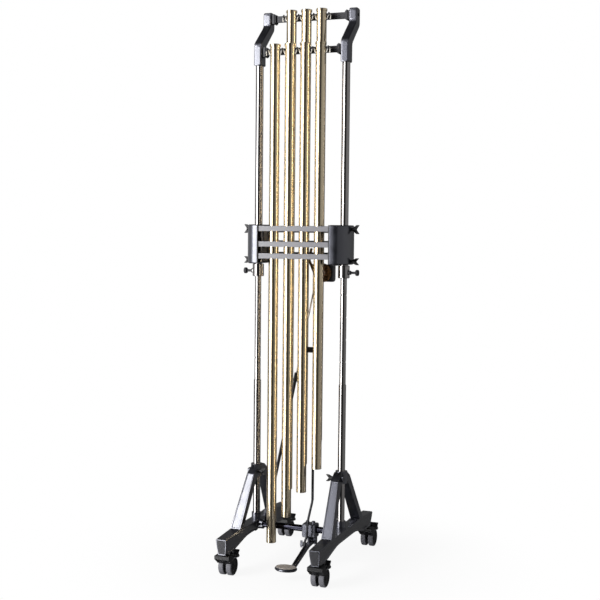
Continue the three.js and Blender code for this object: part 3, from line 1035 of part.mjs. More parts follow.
// Leg frames: upside-down V casting that leans in to a split clamp round the post
function legFrame() {
  const half = [
    [LEG_FOOT_OUTER, BEAM_PAD_TOP + GAP], [LEG_HEAD_OUTER, LEG_SHOULDER_Z], [LEG_CROWN_HALF, LEG_TOP]];
  const inside = [[LEG_HEAD_INNER, LEG_CROTCH_Z, LEG_HALF_WIDTH_HEAD], [LEG_FOOT_INNER, BEAM_PAD_TOP + GAP]];
  const flip = (corners) => corners.map(([y, ...rest]) => [-y, ...rest]).reverse();
  const farX = BASE_X + LEG_HALF_WIDTH_FOOT + LEG_LEAN;
  const nearX = BASE_X - LEG_HALF_WIDTH_FOOT - LEG_LEAN;
  const sideView = alongX(outline([...half, ...flip(half), ...flip(inside), ...inside]), nearX, farX, 0, 2);
  const headX = BASE_X - LEG_LEAN;
  const frontView = alongY(outline([
    [BASE_X - LEG_HALF_WIDTH_FOOT, BEAM_PAD_TOP], [BASE_X + LEG_HALF_WIDTH_FOOT, BEAM_PAD_TOP],
    [headX + LEG_HALF_WIDTH_HEAD, LEG_TOP + OVERRUN], [headX - LEG_HALF_WIDTH_HEAD, LEG_TOP + OVERRUN],
  ]), -LEG_FOOT_OUTER - OVERRUN, LEG_FOOT_OUTER + OVERRUN);
  const ring = rodBetween(CLAMP_RADIUS, [POST_X, 0, CLAMP_BOTTOM], [POST_X, 0, CLAMP_TOP], ROUND);
  const ears = alongX(outline([
    [EAR_Y + EAR_RADIUS, EAR_Z - EAR_RADIUS], [EAR_Y + EAR_RADIUS, EAR_Z + EAR_RADIUS],
    [EAR_Y - EAR_RADIUS, EAR_Z + EAR_RADIUS, EAR_RADIUS / 2],
    [EAR_Y - EAR_RADIUS, EAR_Z - EAR_RADIUS, EAR_RADIUS / 2],
  ]), POST_X - EAR_HALF_WIDTH, POST_X + EAR_HALF_WIDTH);
  const bore = rodBetween(LOWER_POST_RADIUS + GAP,
    [POST_X, 0, CLAMP_BOTTOM - CLAMP_RADIUS], [POST_X, 0, CLAMP_TOP + OVERRUN], ROUND);
  const slit = box(POST_X - SLIT / 2, POST_X + SLIT / 2, EAR_Y - EAR_RADIUS - OVERRUN, 0,
    CLAMP_BOTTOM - CLAMP_RADIUS, CLAMP_TOP + OVERRUN);
  const screwHole = rodBetween(KNOB_SCREW_RADIUS + GAP,
    [POST_X - 2 * CLAMP_RADIUS, EAR_Y, EAR_Z], [POST_X + 2 * CLAMP_RADIUS, EAR_Y, EAR_Z]);
  return cut(join(overlap(sideView, frontView), ring, ears), bore, slit, screwHole);
}

// Leg knobs: their screws cross the split clamp from its inner side
function legKnob() {
  const screwLength = 2 * EAR_HALF_WIDTH + KNOB_STANDOFF;
  return mirrored(wingKnob(screwLength, LOWER_KNOB_SPAN)).translate(POST_X + EAR_HALF_WIDTH, EAR_Y, EAR_Z);
}

for (const [side, sign] of SIDES) {
  addPiece(`${side}_foot_beam`, onSide(sign, footBeam()), blackCasting);
  addPiece(`${side}_leg_frame`, onSide(sign, legFrame()), blackCasting);
  addPiece(`${side}_leg_knob`, onSide(sign, legKnob()), moulding);
}

// Pedal clamp: block round the crossbar, two bolts on top, two lugs and the pin below
function pedalClamp() {
  const r = CLAMP_BLOCK_ROUNDING;
  const block = alongX(outline([
    [-CLAMP_BLOCK_HALF_DEPTH, CLAMP_BLOCK_BOTTOM, r], [CLAMP_BLOCK_HALF_DEPTH, CLAMP_BLOCK_BOTTOM, r],
    [CLAMP_BLOCK_HALF_DEPTH, CLAMP_BLOCK_TOP, r], [-CLAMP_BLOCK_HALF_DEPTH, CLAMP_BLOCK_TOP, r],
  ]), CLAMP_BLOCK_X - CLAMP_BLOCK_HALF_WIDTH, CLAMP_BLOCK_X + CLAMP_BLOCK_HALF_WIDTH, HOOD_SHELL);
  const bolts = [-CLAMP_BOLT_OFFSET, CLAMP_BOLT_OFFSET].map((dx) => rodBetween(CLAMP_BOLT_RADIUS,
    [CLAMP_BLOCK_X + dx, 0, CLAMP_BLOCK_TOP - OVERRUN],
    [CLAMP_BLOCK_X + dx, 0, CLAMP_BLOCK_TOP + CLAMP_BOLT_HEAD]));
  const lugStart = PEDAL_ARM_WIDTH / 2 + GAP;
  const lug = alongX(outline([
    [PEDAL_PIVOT_Y - PEDAL_HUB_RADIUS, PEDAL_PIVOT_Z - PEDAL_HUB_RADIUS, PEDAL_HUB_RADIUS / 2],
    [PEDAL_PIVOT_Y + PEDAL_HUB_RADIUS, PEDAL_PIVOT_Z - PEDAL_HUB_RADIUS, PEDAL_HUB_RADIUS / 2],
    [PEDAL_PIVOT_Y + PEDAL_HUB_RADIUS, CLAMP_BLOCK_BOTTOM + OVERRUN],
    [PEDAL_PIVOT_Y - PEDAL_HUB_RADIUS, CLAMP_BLOCK_BOTTOM + OVERRUN],
  ]), lugStart, lugStart + PEDAL_LUG_WIDTH);
  const pin = rodBetween(PEDAL_PIN_RADIUS,
    [PEDAL_X - lugStart - PEDAL_LUG_WIDTH / 2, PEDAL_PIVOT_Y, PEDAL_PIVOT_Z],
    [PEDAL_X + lugStart + PEDAL_LUG_WIDTH / 2, PEDAL_PIVOT_Y, PEDAL_PIVOT_Z]);
  const bore = rodBetween(CROSSBAR_RADIUS + GAP,
    [CLAMP_BLOCK_X - 2 * CLAMP_BLOCK_HALF_WIDTH, 0, CROSSBAR_Z],
    [CLAMP_BLOCK_X + 2 * CLAMP_BLOCK_HALF_WIDTH, 0, CROSSBAR_Z], ROUND);
  const rightLug = lug.clone().translate(PEDAL_X, 0, 0);
  const leftLug = mirrored(lug).translate(PEDAL_X, 0, 0);
  return cut(join(block, ...bolts, rightLug, leftLug, pin), bore);
}
addPiece('pedal_clamp', pedalClamp(), blackCasting);

// Pedal: channelled arm from the pivot, oval pad, stub with a wing nut for the pull rod
function pedal() {
  const high = PEDAL_ARM_HEIGHT / 2;
  const low = PEDAL_TIP_HEIGHT / 2;
  const armStart = PEDAL_PIVOT_Y + high / 2;
  const arm = alongX(outline([
    [armStart, PEDAL_PIVOT_Z + high], [PEDAL_KNEE_Y, PEDAL_KNEE_Z + high, high],
    [PEDAL_TIP_Y, PEDAL_TIP_Z + low], [PEDAL_TIP_Y, PEDAL_TIP_Z - low],
    [PEDAL_KNEE_Y, PEDAL_KNEE_Z - high, high], [armStart, PEDAL_PIVOT_Z - high],
  ]), armLeft, armLeft + PEDAL_ARM_WIDTH, OVERRUN, 2);
  const channelHalf = PEDAL_CHANNEL_WIDTH / 2;
  const channel = alongX(outline([
    [PEDAL_KNEE_Y, PEDAL_KNEE_Z + high + OVERRUN], [PEDAL_KNEE_Y, PEDAL_KNEE_Z + high - PEDAL_CHANNEL_DEPTH],
    [PEDAL_TIP_Y + PEDAL_CHANNEL_WIDTH, PEDAL_TIP_Z + low - PEDAL_CHANNEL_DEPTH + OVERRUN],
    [PEDAL_TIP_Y + PEDAL_CHANNEL_WIDTH, PEDAL_TIP_Z + low + PEDAL_CHANNEL_WIDTH],
  ]), PEDAL_X - channelHalf, PEDAL_X + channelHalf);
  const hub = rodBetween(PEDAL_HUB_RADIUS, [armLeft, PEDAL_PIVOT_Y, PEDAL_PIVOT_Z],
    [armLeft + PEDAL_ARM_WIDTH, PEDAL_PIVOT_Y, PEDAL_PIVOT_Z], ROUND);
  const bore = rodBetween(PEDAL_PIN_RADIUS + RUNNING_GAP,
    [armLeft - OVERRUN, PEDAL_PIVOT_Y, PEDAL_PIVOT_Z],
    [armLeft + PEDAL_ARM_WIDTH + OVERRUN, PEDAL_PIVOT_Y, PEDAL_PIVOT_Z]);
  const padShape = new THREE.Shape();
  padShape.absellipse(PAD_X, PAD_Y, PAD_HALF_WIDTH, PAD_HALF_DEPTH, 0, 2 * Math.PI);
  const pad = alongZ(padShape, PAD_Z, PAD_Z + PAD_THICKNESS, PAD_EDGE, SMALL_ROUND);
  const nutRight = eyeRight - FOOT_EYE_LENGTH - GAP;
  const stub = rodBetween(STUB_RADIUS, [nutRight - WING_NUT_LENGTH / 2, STUB_Y, STUB_Z],
    [PEDAL_X - channelHalf - OVERRUN, STUB_Y, STUB_Z]);
  const nutStart = [nutRight - WING_NUT_LENGTH, STUB_Y, STUB_Z];
  const nut = rodBetween(WING_NUT_RADIUS, nutStart, [nutRight, STUB_Y, STUB_Z]);
  const wings = box(nutRight - WING_NUT_LENGTH, nutRight - WING_NUT_LENGTH / 4,
    STUB_Y - WING_NUT_THICKNESS / 2, STUB_Y + WING_NUT_THICKNESS / 2,
    STUB_Z - WING_NUT_SPAN / 2, STUB_Z + WING_NUT_SPAN / 2);
  return cut(join(cut(join(arm, hub), channel), pad, stub, nut, wings), bore);
}
addPiece('pedal', pedal(), blackCasting);

// Casters: all four trail towards the back of the frame
const axleHeight = WHEEL_RADIUS * Math.cos(Math.PI / ROUND);
function casterHood() {
  const corners = [
    [HOOD_FRONT, HOOD_TOP], [HOOD_FRONT, HOOD_FRONT_BOTTOM],
    [CASTER_TRAIL - HOOD_RADIUS * Math.cos(HOOD_APRON_ANGLE),
      axleHeight + HOOD_RADIUS * Math.sin(HOOD_APRON_ANGLE)],
    [CASTER_TRAIL - HOOD_RADIUS / 2, axleHeight - AXLE_RADIUS],
    [CASTER_TRAIL, axleHeight - 3 * AXLE_RADIUS], [CASTER_TRAIL + 3 * AXLE_RADIUS, axleHeight],
    [LEVER_Y, LEVER_Z - LEVER_HUB], [LEVER_Y + LEVER_HUB, LEVER_Z], [LEVER_Y, LEVER_Z + LEVER_HUB],
  ];
  const fullTurn = Math.PI / 2;
  for (let i = 1; i <= HOOD_ARC_STEPS; i += 1) {
    const angle = fullTurn * (0.5 + (0.75 * i) / HOOD_ARC_STEPS);
    const y = CASTER_TRAIL + HOOD_RADIUS * Math.cos(angle);
    if (y > HOOD_NECK) corners.push([y, axleHeight + HOOD_RADIUS * Math.sin(angle)]);
  }
  corners.push([HOOD_NECK, HOOD_TOP]);
  const body = alongX(outline(corners), -HOOD_HALF_WIDTH, HOOD_HALF_WIDTH);
  const pocketRadius = HOOD_RADIUS - HOOD_SHELL;
  const pockets = [-1, 1].map((side) => join(
    rodBetween(pocketRadius, [side * WEB_HALF_WIDTH, CASTER_TRAIL, axleHeight],
      [side * (HOOD_HALF_WIDTH + OVERRUN), CASTER_TRAIL, axleHeight], BORE_ROUND),
    box(...[side * WEB_HALF_WIDTH, side * (HOOD_HALF_WIDTH + OVERRUN)].sort((a, b) => a - b),
      LEVER_Y - 2 * LEVER_HUB, LEVER_Y + 2 * LEVER_HUB, 0, HOOD_TOP)));
  const axleHole = rodBetween(AXLE_RADIUS + RUNNING_GAP,
    [-HOOD_HALF_WIDTH, CASTER_TRAIL, axleHeight], [HOOD_HALF_WIDTH, CASTER_TRAIL, axleHeight]);
  const stem = rodBetween(STEM_RADIUS, [0, 0, HOOD_TOP - STEM_RADIUS], [0, 0, STEM_TOP]);
  const leverPin = rodBetween(LEVER_PIN_RADIUS, [-LEVER_HALF_WIDTH, LEVER_Y, LEVER_Z],
    [LEVER_HALF_WIDTH, LEVER_Y, LEVER_Z], SMALL_ROUND / 2 + 2);
  return join(cut(body, ...pockets, axleHole), stem, leverPin);
}

function wheelPair() {
  const inner = WEB_HALF_WIDTH + GAP;
  const outer = inner + WHEEL_WIDTH;
  const half = [
    [AXLE_RADIUS, inner], [WHEEL_RADIUS - WHEEL_ROUNDING, inner], [WHEEL_RADIUS, inner + WHEEL_ROUNDING],
    [WHEEL_RADIUS, outer - WHEEL_ROUNDING], [WHEEL_RADIUS - WHEEL_ROUNDING, outer],
    [WHEEL_HUB_RADIUS, outer - WHEEL_DISH], [0, outer - WHEEL_DISH],
  ];
  const profile = [...half.map(([radius, place]) => [radius, -place]).reverse(), ...half];
  return turnedX(profile, ROUND).rotateX(Math.PI / ROUND).translate(0, CASTER_TRAIL, axleHeight);
}

function brakeLever() {
  const tip = LEVER_REACH;
  const middle = (LEVER_TOP + LEVER_BOTTOM) / 2;
  const body = alongX(outline([
    [LEVER_Y - LEVER_HUB, LEVER_Z - LEVER_HUB, OVERRUN], [tip - LEVER_HUB, LEVER_BOTTOM],
    [tip, LEVER_BOTTOM + LEVER_HUB / 2], [tip, LEVER_BOTTOM + LEVER_HUB],
    [tip - LEVER_NOTCH_DEPTH, middle, OVERRUN], [tip, LEVER_TOP - LEVER_HUB],
    [tip - LEVER_HUB / 2, LEVER_TOP, OVERRUN], [LEVER_Y - LEVER_HUB, LEVER_Z + LEVER_HUB, OVERRUN],
  ]), -LEVER_HALF_WIDTH, LEVER_HALF_WIDTH, 0, 1);
  const bore = rodBetween(LEVER_PIN_RADIUS + RUNNING_GAP,
    [-LEVER_HALF_WIDTH - OVERRUN, LEVER_Y, LEVER_Z], [LEVER_HALF_WIDTH + OVERRUN, LEVER_Y, LEVER_Z],
    SMALL_ROUND / 2 + 2);
  const clearance = WEB_HALF_WIDTH + GAP;
  const webSlot = box(-clearance, clearance, LEVER_Y - 2 * LEVER_HUB, LEVER_Y + LEVER_HUB + 2 * GAP, 0,
    LEVER_TOP + OVERRUN);
  return cut(body, bore, webSlot);
}

for (const [end, direction] of [['front', -1], ['rear', 1]]) {
  for (const [side, sign] of SIDES) {
    const caster = new THREE.Group();
    caster.position.set(sign * BASE_X, direction * CASTER_Y, 0);
    pieces.add(caster);
    addPiece(`${end}_${side}_caster_hood`, casterHood(), moulding, caster);
    addPiece(`${end}_${side}_caster_wheels`, wheelPair(), tread, caster);
    addPiece(`${end}_${side}_brake_lever`, brakeLever(), moulding, caster);
  }
}

// Origin: on the floor under the middle of the footprint
const frontReach = NOSE_REACH;
const rearReach = CASTER_Y + LEVER_REACH;
pieces.position.y = (frontReach - rearReach) / 2;

const tubularBells = new THREE.Group();
tubularBells.add(pieces);

export default tubularBells;
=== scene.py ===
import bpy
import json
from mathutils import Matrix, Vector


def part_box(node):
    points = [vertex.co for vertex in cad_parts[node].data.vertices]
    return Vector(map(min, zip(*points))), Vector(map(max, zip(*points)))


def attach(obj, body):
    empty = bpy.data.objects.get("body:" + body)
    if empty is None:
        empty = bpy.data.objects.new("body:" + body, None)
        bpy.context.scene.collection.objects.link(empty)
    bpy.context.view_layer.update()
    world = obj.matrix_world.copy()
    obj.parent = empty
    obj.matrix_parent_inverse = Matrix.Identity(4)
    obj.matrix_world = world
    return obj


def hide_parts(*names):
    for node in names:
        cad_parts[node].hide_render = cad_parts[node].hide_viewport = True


bl_info = {
    "name": "Tubular Bells",
    "version": (1, 0, 0),
    "blender": (4, 5, 0),
    "location": "3D View > Sidebar > Tubular Bells",
    "description": "Dresses the frame of a seven-note set of tubular bells and its rolling stand",
    "category": "Object",
}

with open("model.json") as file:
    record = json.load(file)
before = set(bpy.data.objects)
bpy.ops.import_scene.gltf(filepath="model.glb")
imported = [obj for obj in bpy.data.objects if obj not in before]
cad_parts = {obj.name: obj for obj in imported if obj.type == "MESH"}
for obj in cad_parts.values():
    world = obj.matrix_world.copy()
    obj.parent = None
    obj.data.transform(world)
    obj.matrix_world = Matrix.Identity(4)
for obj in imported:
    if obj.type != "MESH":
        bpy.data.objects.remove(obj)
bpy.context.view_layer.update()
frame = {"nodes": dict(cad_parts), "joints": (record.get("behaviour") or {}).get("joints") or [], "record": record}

import json
import math
from collections import namedtuple

import bmesh
import bpy
from bpy.props import FloatProperty, FloatVectorProperty, IntProperty, PointerProperty
from mathutils import Matrix, Vector

MM = 0.001
AXIS_X = Vector((1, 0, 0))
AXIS_Y = Vector((0, 1, 0))
AXIS_Z = Vector((0, 0, 1))

# Sides of turned shapes: bells, then posts, wheels and the pedal's oval, then fittings, then small parts
BELL_SIDES = 96
POST_SIDES = 64
FITTING_SIDES = 48
SMALL_SIDES = 24
HEXAGON = 6

# Driving sizes in millimetres
FIT_GAP = 0.3
RAIL_DEPTH = 14
RAIL_FLANGE_DEPTH = 33
PEG_RADIUS = 2.6
CORD_RADIUS = 1.8
CORD_LIFT = 0.5
CORD_TAIL = 14
CORD_STRAIGHT = 1.2
HOLE_DEPTH = 38
HOLE_RADIUS = 2.4
NOTCH_PITCH = 84.5
NOTCHES_BELOW = 4
NOTCHES_ABOVE = 2
NOTCH_DEPTH = 1.2
NOTCH_HEIGHT = 5
INDEX_HEIGHT = 1128
LOWER_POST_TOP = 704
POST_STEP = 2
UPPER_POST_WALL = 2.4
UPPER_BORE_END = 120
SPIGOT_LENGTH = 60
SPIGOT_RADIUS = 11
BAR_THICKNESS = 4
FELT_THICKNESS = 3.5
WHEEL_WIDTH = 21
WEB_HALF_WIDTH = 5
CRANK_FACE = 3.4
SCREW_SEAT = 0.2

# How far a cord lies round a peg to each side, as a share of half a turn, and the points of that arc
CORD_LEAN = 0.36
CORD_END_LEAN = 0.5
CORD_ARC_POINTS = 5

# Distances in millimetres below which points of a made shape and of a frame's mesh are merged
SAME_POINT = 0.001
SAME_FRAME_POINT = 0.01

# Faces that differ by less than the first angle are joined, edges that turn by more than the second are
# rounded, and those past the others are shaded sharp
FLAT_ANGLE = math.radians(0.7)
EDGE_ANGLE = math.radians(32)
PLAIN_SHARP_ANGLE = math.radians(60)
PANEL_SHARP_ANGLE = math.radians(28)
PART_SHARP_ANGLE = math.radians(35)

# Least cosine between a face's normal and the way that it is said to look
FACING = 0.985

SIDES = (("left", -1), ("right", 1))
ROWS = {
    "front": ("bell_f", "bell_g", "bell_a", "bell_b"),
    "rear": ("bell_f_sharp", "bell_g_sharp", "bell_a_sharp"),
}
CASTERS = ("front_left", "front_right", "rear_left", "rear_right")

# A panel in the flat faces that look along a direction and have at least an area in square millimetres: its
# margin and wall, and its depth, which is below zero where it is raised
CastPanel = namedtuple("CastPanel", "direction least_area margin wall depth")


def linear(code):
    """An sRGB hex colour as linear red, green, blue and alpha."""
    channels = [int(code[i:i + 2], 16) / 255 for i in (1, 3, 5)]
    return (*[c / 12.92 if c <= 0.04045 else ((c + 0.055) / 1.055) ** 2.4 for c in channels], 1.0)


class BellSizes(bpy.types.PropertyGroup):
    """Sizes of the bells and their cords that a user would change."""

    tube_diameter: FloatProperty(
        name="Tube diameter", description="Outside diameter of a bell", default=0.038, unit="LENGTH")
    wall: FloatProperty(name="Wall", description="Wall of a bell's tube", default=0.0016, unit="LENGTH")
    cap_height: FloatProperty(
        name="Cap height", description="Height of a bell's cap", default=0.009, unit="LENGTH")
    edge: FloatProperty(
        name="Edge", description="Rounding of a bell's edges", default=0.0009, unit="LENGTH")
    strands: IntProperty(
        name="Strands", description="Strands in the suspension cord", default=3, min=2, max=6)
    lay: FloatProperty(
        name="Lay", description="Length of one twist of the cord", default=0.011, unit="LENGTH")


class FinishColours(bpy.types.PropertyGroup):
    """Colours of the finishes that a user would change."""

    brass: FloatVectorProperty(
        name="Brass", description="Satin lacquered brass", size=4, subtype="COLOR",
        default=linear("#eddcbd"))
    chrome: FloatVectorProperty(
        name="Chrome", description="Chromed steel", size=4, subtype="COLOR", default=linear("#a8a5a4"))
    enamel: FloatVectorProperty(
        name="Enamel", description="Black enamelled castings", size=4, subtype="COLOR",
        default=linear("#0c0d10"))
    bar: FloatVectorProperty(
        name="Bars", description="Grey steel bars", size=4, subtype="COLOR", default=linear("#4c4a52"))
    steel: FloatVectorProperty(
        name="Steel", description="Black finished steel", size=4, subtype="COLOR", default=linear("#0b0b0d"))
    nylon: FloatVectorProperty(
        name="Nylon", description="Black moulded nylon", size=4, subtype="COLOR", default=linear("#101012"))
    tread: FloatVectorProperty(
        name="Tread", description="Grey wheel tread", size=4, subtype="COLOR", default=linear("#6c6c72"))
    felt: FloatVectorProperty(
        name="Felt", description="Damper felt", size=4, subtype="COLOR", default=linear("#1c1a1f"))
    cord: FloatVectorProperty(
        name="Cord", description="Laid suspension cord", size=4, subtype="COLOR", default=linear("#fbf7ee"))
    # The pad's top: grey made paler by a painted highlight
    pad: FloatVectorProperty(
        name="Pad", description="Top of the pedal pad", size=4, subtype="COLOR", default=linear("#b0a8a1"))
    zinc: FloatVectorProperty(
        name="Zinc", description="Bright zinc plate", size=4, subtype="COLOR", default=linear("#c4bab2"))
    passivation: FloatVectorProperty(
        name="Passivation", description="Golden-brown passivated steel", size=4, subtype="COLOR",
        default=linear("#6e5640"))
    smoked: FloatVectorProperty(
        name="Smoked", description="Dark chromed crossbar", size=4, subtype="COLOR",
        default=linear("#3a3a44"))


class StudioSettings(bpy.types.PropertyGroup):
    """Light and viewpoint of the stage."""

    lens: FloatProperty(name="Lens", description="Focal length", default=67.31, unit="CAMERA")
    roll: FloatProperty(
        name="Roll", description="Roll of the camera", default=math.radians(0.564), subtype="ANGLE")
    softbox: FloatProperty(
        name="Softbox", description="Power of the large softbox on the left", default=290, unit="POWER")
    overhead: FloatProperty(
        name="Overhead", description="Power of the softbox above it", default=240, unit="POWER")
    fill: FloatProperty(name="Fill", description="Strength of the plain surround", default=0.5)


# Nodes and materials


def add_node(tree, kind, settings=None, values=None, links=None):
    """Adds a node with its settings, the values of its inputs and the sockets that feed them."""
    node = tree.nodes.new(kind)
    for name, value in (settings or {}).items():
        setattr(node, name, value)
    for socket, value in (values or {}).items():
        node.inputs[socket].default_value = value
    for socket, source in (links or {}).items():
        tree.links.new(source, node.inputs[socket])
    return node


def new_material(name, **shader_values):
    """An empty material with a Principled shader that has the given plain values."""
    material = bpy.data.materials.new(name)
    material.use_nodes = True
    tree = material.node_tree
    tree.nodes.clear()
    shader = add_node(tree, "ShaderNodeBsdfPrincipled", values=shader_values)
    add_node(tree, "ShaderNodeOutputMaterial", links={"Surface": shader.outputs["BSDF"]})
    return material, tree, shader


def stretched_coordinates(tree, scale):
    """Object coordinates stretched by a scale along each axis."""
    place = add_node(tree, "ShaderNodeTexCoord")
    mapping = add_node(
        tree, "ShaderNodeMapping", values={"Scale": scale}, links={"Vector": place.outputs["Object"]})
    return mapping.outputs["Vector"]


def tint(tree, shader, factor, dark, light, low=0.35, high=0.65):
    """Colours the shader between two linear colours by a grey factor."""
    ramp = add_node(tree, "ShaderNodeValToRGB", links={"Fac": factor})
    ramp.color_ramp.elements[0].position = low
    ramp.color_ramp.elements[0].color = dark
    ramp.color_ramp.elements[1].position = high
    ramp.color_ramp.elements[1].color = light
    tree.links.new(ramp.outputs["Color"], shader.inputs["Base Color"])


def shade(colour, amount):
    """A linear colour made darker or lighter by a factor."""
    return (*[min(1.0, c * amount) for c in colour[:3]], 1.0)


def satin_brass(colours):
    # Drawn brass tube, satin polished along its length and lacquered: warm, soft bands of light with fine
    # lengthwise lines and a slight change of tone along the tube
    material, tree, shader = new_material(
        "satin_brass", **{"Metallic": 1.0, "Coat Weight": 0.1, "Coat Roughness": 0.1})
    lines = add_node(
        tree, "ShaderNodeTexNoise", values={"Scale": 1 / (0.9 * MM), "Detail": 3.0, "Roughness": 0.6},
        links={"Vector": stretched_coordinates(tree, (1, 1, 0.006))})
    tone = add_node(
        tree, "ShaderNodeTexNoise", values={"Scale": 1 / (60 * MM), "Detail": 2.0},
        links={"Vector": stretched_coordinates(tree, (1, 1, 0.3))})
    tint(tree, shader, tone.outputs["Fac"], shade(colours.brass, 0.96), shade(colours.brass, 1.0))
    rough = add_node(
        tree, "ShaderNodeMapRange",
        values={"From Min": 0.3, "From Max": 0.7, "To Min": 0.19, "To Max": 0.205},
        links={"Value": lines.outputs["Fac"]})
    tree.links.new(rough.outputs["Result"], shader.inputs["Roughness"])
    return material


def chrome_plate(colours):
    # Chromed steel tube: hard mirror bands with faint polishing haze
    material, tree, shader = new_material("chrome_plate", **{"Metallic": 1.0})
    haze = add_node(
        tree, "ShaderNodeTexNoise", values={"Scale": 1 / (14 * MM), "Detail": 3.0},
        links={"Vector": stretched_coordinates(tree, (1, 1, 0.25))})
    tint(tree, shader, haze.outputs["Fac"], shade(colours.chrome, 0.95), colours.chrome)
    rough = add_node(
        tree, "ShaderNodeMapRange",
        values={"From Min": 0.3, "From Max": 0.7, "To Min": 0.05, "To Max": 0.12},
        links={"Value": haze.outputs["Fac"]})
    tree.links.new(rough.outputs["Result"], shader.inputs["Roughness"])
    return material


def black_enamel(colours):
    # Stoved enamel on a sand casting: deep bluish black with orange peel and a paler, cloudy bloom
    material, tree, shader = new_material(
        "black_enamel", **{
            "Coat Weight": 0.8, "Coat Roughness": 0.12, "Specular IOR Level": 1.0, "IOR": 1.65,
            "Specular Tint": linear("#e6e8fa")})
    peel = add_node(
        tree, "ShaderNodeTexNoise", values={"Scale": 1 / (2.2 * MM), "Detail": 2.0, "Roughness": 0.5},
        links={"Vector": stretched_coordinates(tree, (1, 1, 1))})
    bloom = add_node(
        tree, "ShaderNodeTexNoise", values={"Scale": 1 / (35 * MM), "Detail": 4.0, "Roughness": 0.6},
        links={"Vector": stretched_coordinates(tree, (1, 1, 1))})
    tint(tree, shader, bloom.outputs["Fac"], shade(colours.enamel, 0.7), shade(colours.enamel, 1.6))
    rough = add_node(
        tree, "ShaderNodeMapRange", values={"From Min": 0.3, "From Max": 0.7, "To Min": 0.28, "To Max": 0.4},
        links={"Value": bloom.outputs["Fac"]})
    tree.links.new(rough.outputs["Result"], shader.inputs["Roughness"])
    bump = add_node(
        tree, "ShaderNodeBump", values={"Strength": 0.2, "Distance": 0.08 * MM},
        links={"Height": peel.outputs["Fac"]})
    tree.links.new(bump.outputs["Normal"], shader.inputs["Normal"])
    return material


def satin_bar(colours):
    # Rolled steel flat with a satin grey finish: soft sheen that follows fine lines along the bar
    material, tree, shader = new_material("satin_bar", **{"Specular IOR Level": 1.0})
    lines = add_node(
        tree, "ShaderNodeTexNoise", values={"Scale": 1 / (0.8 * MM), "Detail": 3.0, "Roughness": 0.6},
        links={"Vector": stretched_coordinates(tree, (0.012, 1, 1))})
    tint(tree, shader, lines.outputs["Fac"], shade(colours.bar, 0.92), shade(colours.bar, 1.06))
    rough = add_node(
        tree, "ShaderNodeMapRange", values={"From Min": 0.3, "From Max": 0.7, "To Min": 0.32, "To Max": 0.4},
        links={"Value": lines.outputs["Fac"]})
    tree.links.new(rough.outputs["Result"], shader.inputs["Roughness"])
    bump = add_node(
        tree, "ShaderNodeBump", values={"Strength": 0.15, "Distance": 0.04 * MM},
        links={"Height": lines.outputs["Fac"]})
    tree.links.new(bump.outputs["Normal"], shader.inputs["Normal"])
    return material


def black_steel(colours):
    # Black lacquered steel: deep black that turns white where it mirrors a light, with faint streaks
    material, tree, shader = new_material(
        "black_steel", **{"Coat Weight": 0.6, "Coat Roughness": 0.1, "Specular IOR Level": 1.0, "IOR": 1.65})
    streaks = add_node(
        tree, "ShaderNodeTexNoise", values={"Scale": 1 / (5 * MM), "Detail": 4.0, "Roughness": 0.65},
        links={"Vector": stretched_coordinates(tree, (1, 1, 0.4))})
    tint(tree, shader, streaks.outputs["Fac"], shade(colours.steel, 0.7), shade(colours.steel, 1.5))
    rough = add_node(
        tree, "ShaderNodeMapRange", values={"From Min": 0.3, "From Max": 0.7, "To Min": 0.1, "To Max": 0.17},
        links={"Value": streaks.outputs["Fac"]})
    tree.links.new(rough.outputs["Result"], shader.inputs["Roughness"])
    return material


def moulded_nylon(colours):
    # Injection moulded nylon: dull black with the fine spark-eroded grain of the mould
    material, tree, shader = new_material("moulded_nylon", **{"Specular IOR Level": 0.35})
    grain = add_node(
        tree, "ShaderNodeTexNoise", values={"Scale": 1 / (0.9 * MM), "Detail": 2.0},
        links={"Vector": stretched_coordinates(tree, (1, 1, 1))})
    tint(tree, shader, grain.outputs["Fac"], shade(colours.nylon, 0.8), shade(colours.nylon, 1.3))
    rough = add_node(
        tree, "ShaderNodeMapRange", values={"From Min": 0.3, "From Max": 0.7, "To Min": 0.34, "To Max": 0.5},
        links={"Value": grain.outputs["Fac"]})
    tree.links.new(rough.outputs["Result"], shader.inputs["Roughness"])
    bump = add_node(
        tree, "ShaderNodeBump", values={"Strength": 0.3, "Distance": 0.08 * MM},
        links={"Height": grain.outputs["Fac"]})
    tree.links.new(bump.outputs["Normal"], shader.inputs["Normal"])
    return material


def polyurethane_tread(colours):
    # Cast polyurethane: even grey, slightly scuffed and dusty all over
    material, tree, shader = new_material("polyurethane_tread", **{"Specular IOR Level": 0.4})
    scuffs = add_node(
        tree, "ShaderNodeTexNoise", values={"Scale": 1 / (4 * MM), "Detail": 5.0, "Roughness": 0.7},
        links={"Vector": stretched_coordinates(tree, (1, 1, 1))})
    tint(tree, shader, scuffs.outputs["Fac"], shade(colours.tread, 0.75), shade(colours.tread, 1.15))
    rough = add_node(
        tree, "ShaderNodeMapRange",
        values={"From Min": 0.3, "From Max": 0.7, "To Min": 0.42, "To Max": 0.62},
        links={"Value": scuffs.outputs["Fac"]})
    tree.links.new(rough.outputs["Result"], shader.inputs["Roughness"])
    return material


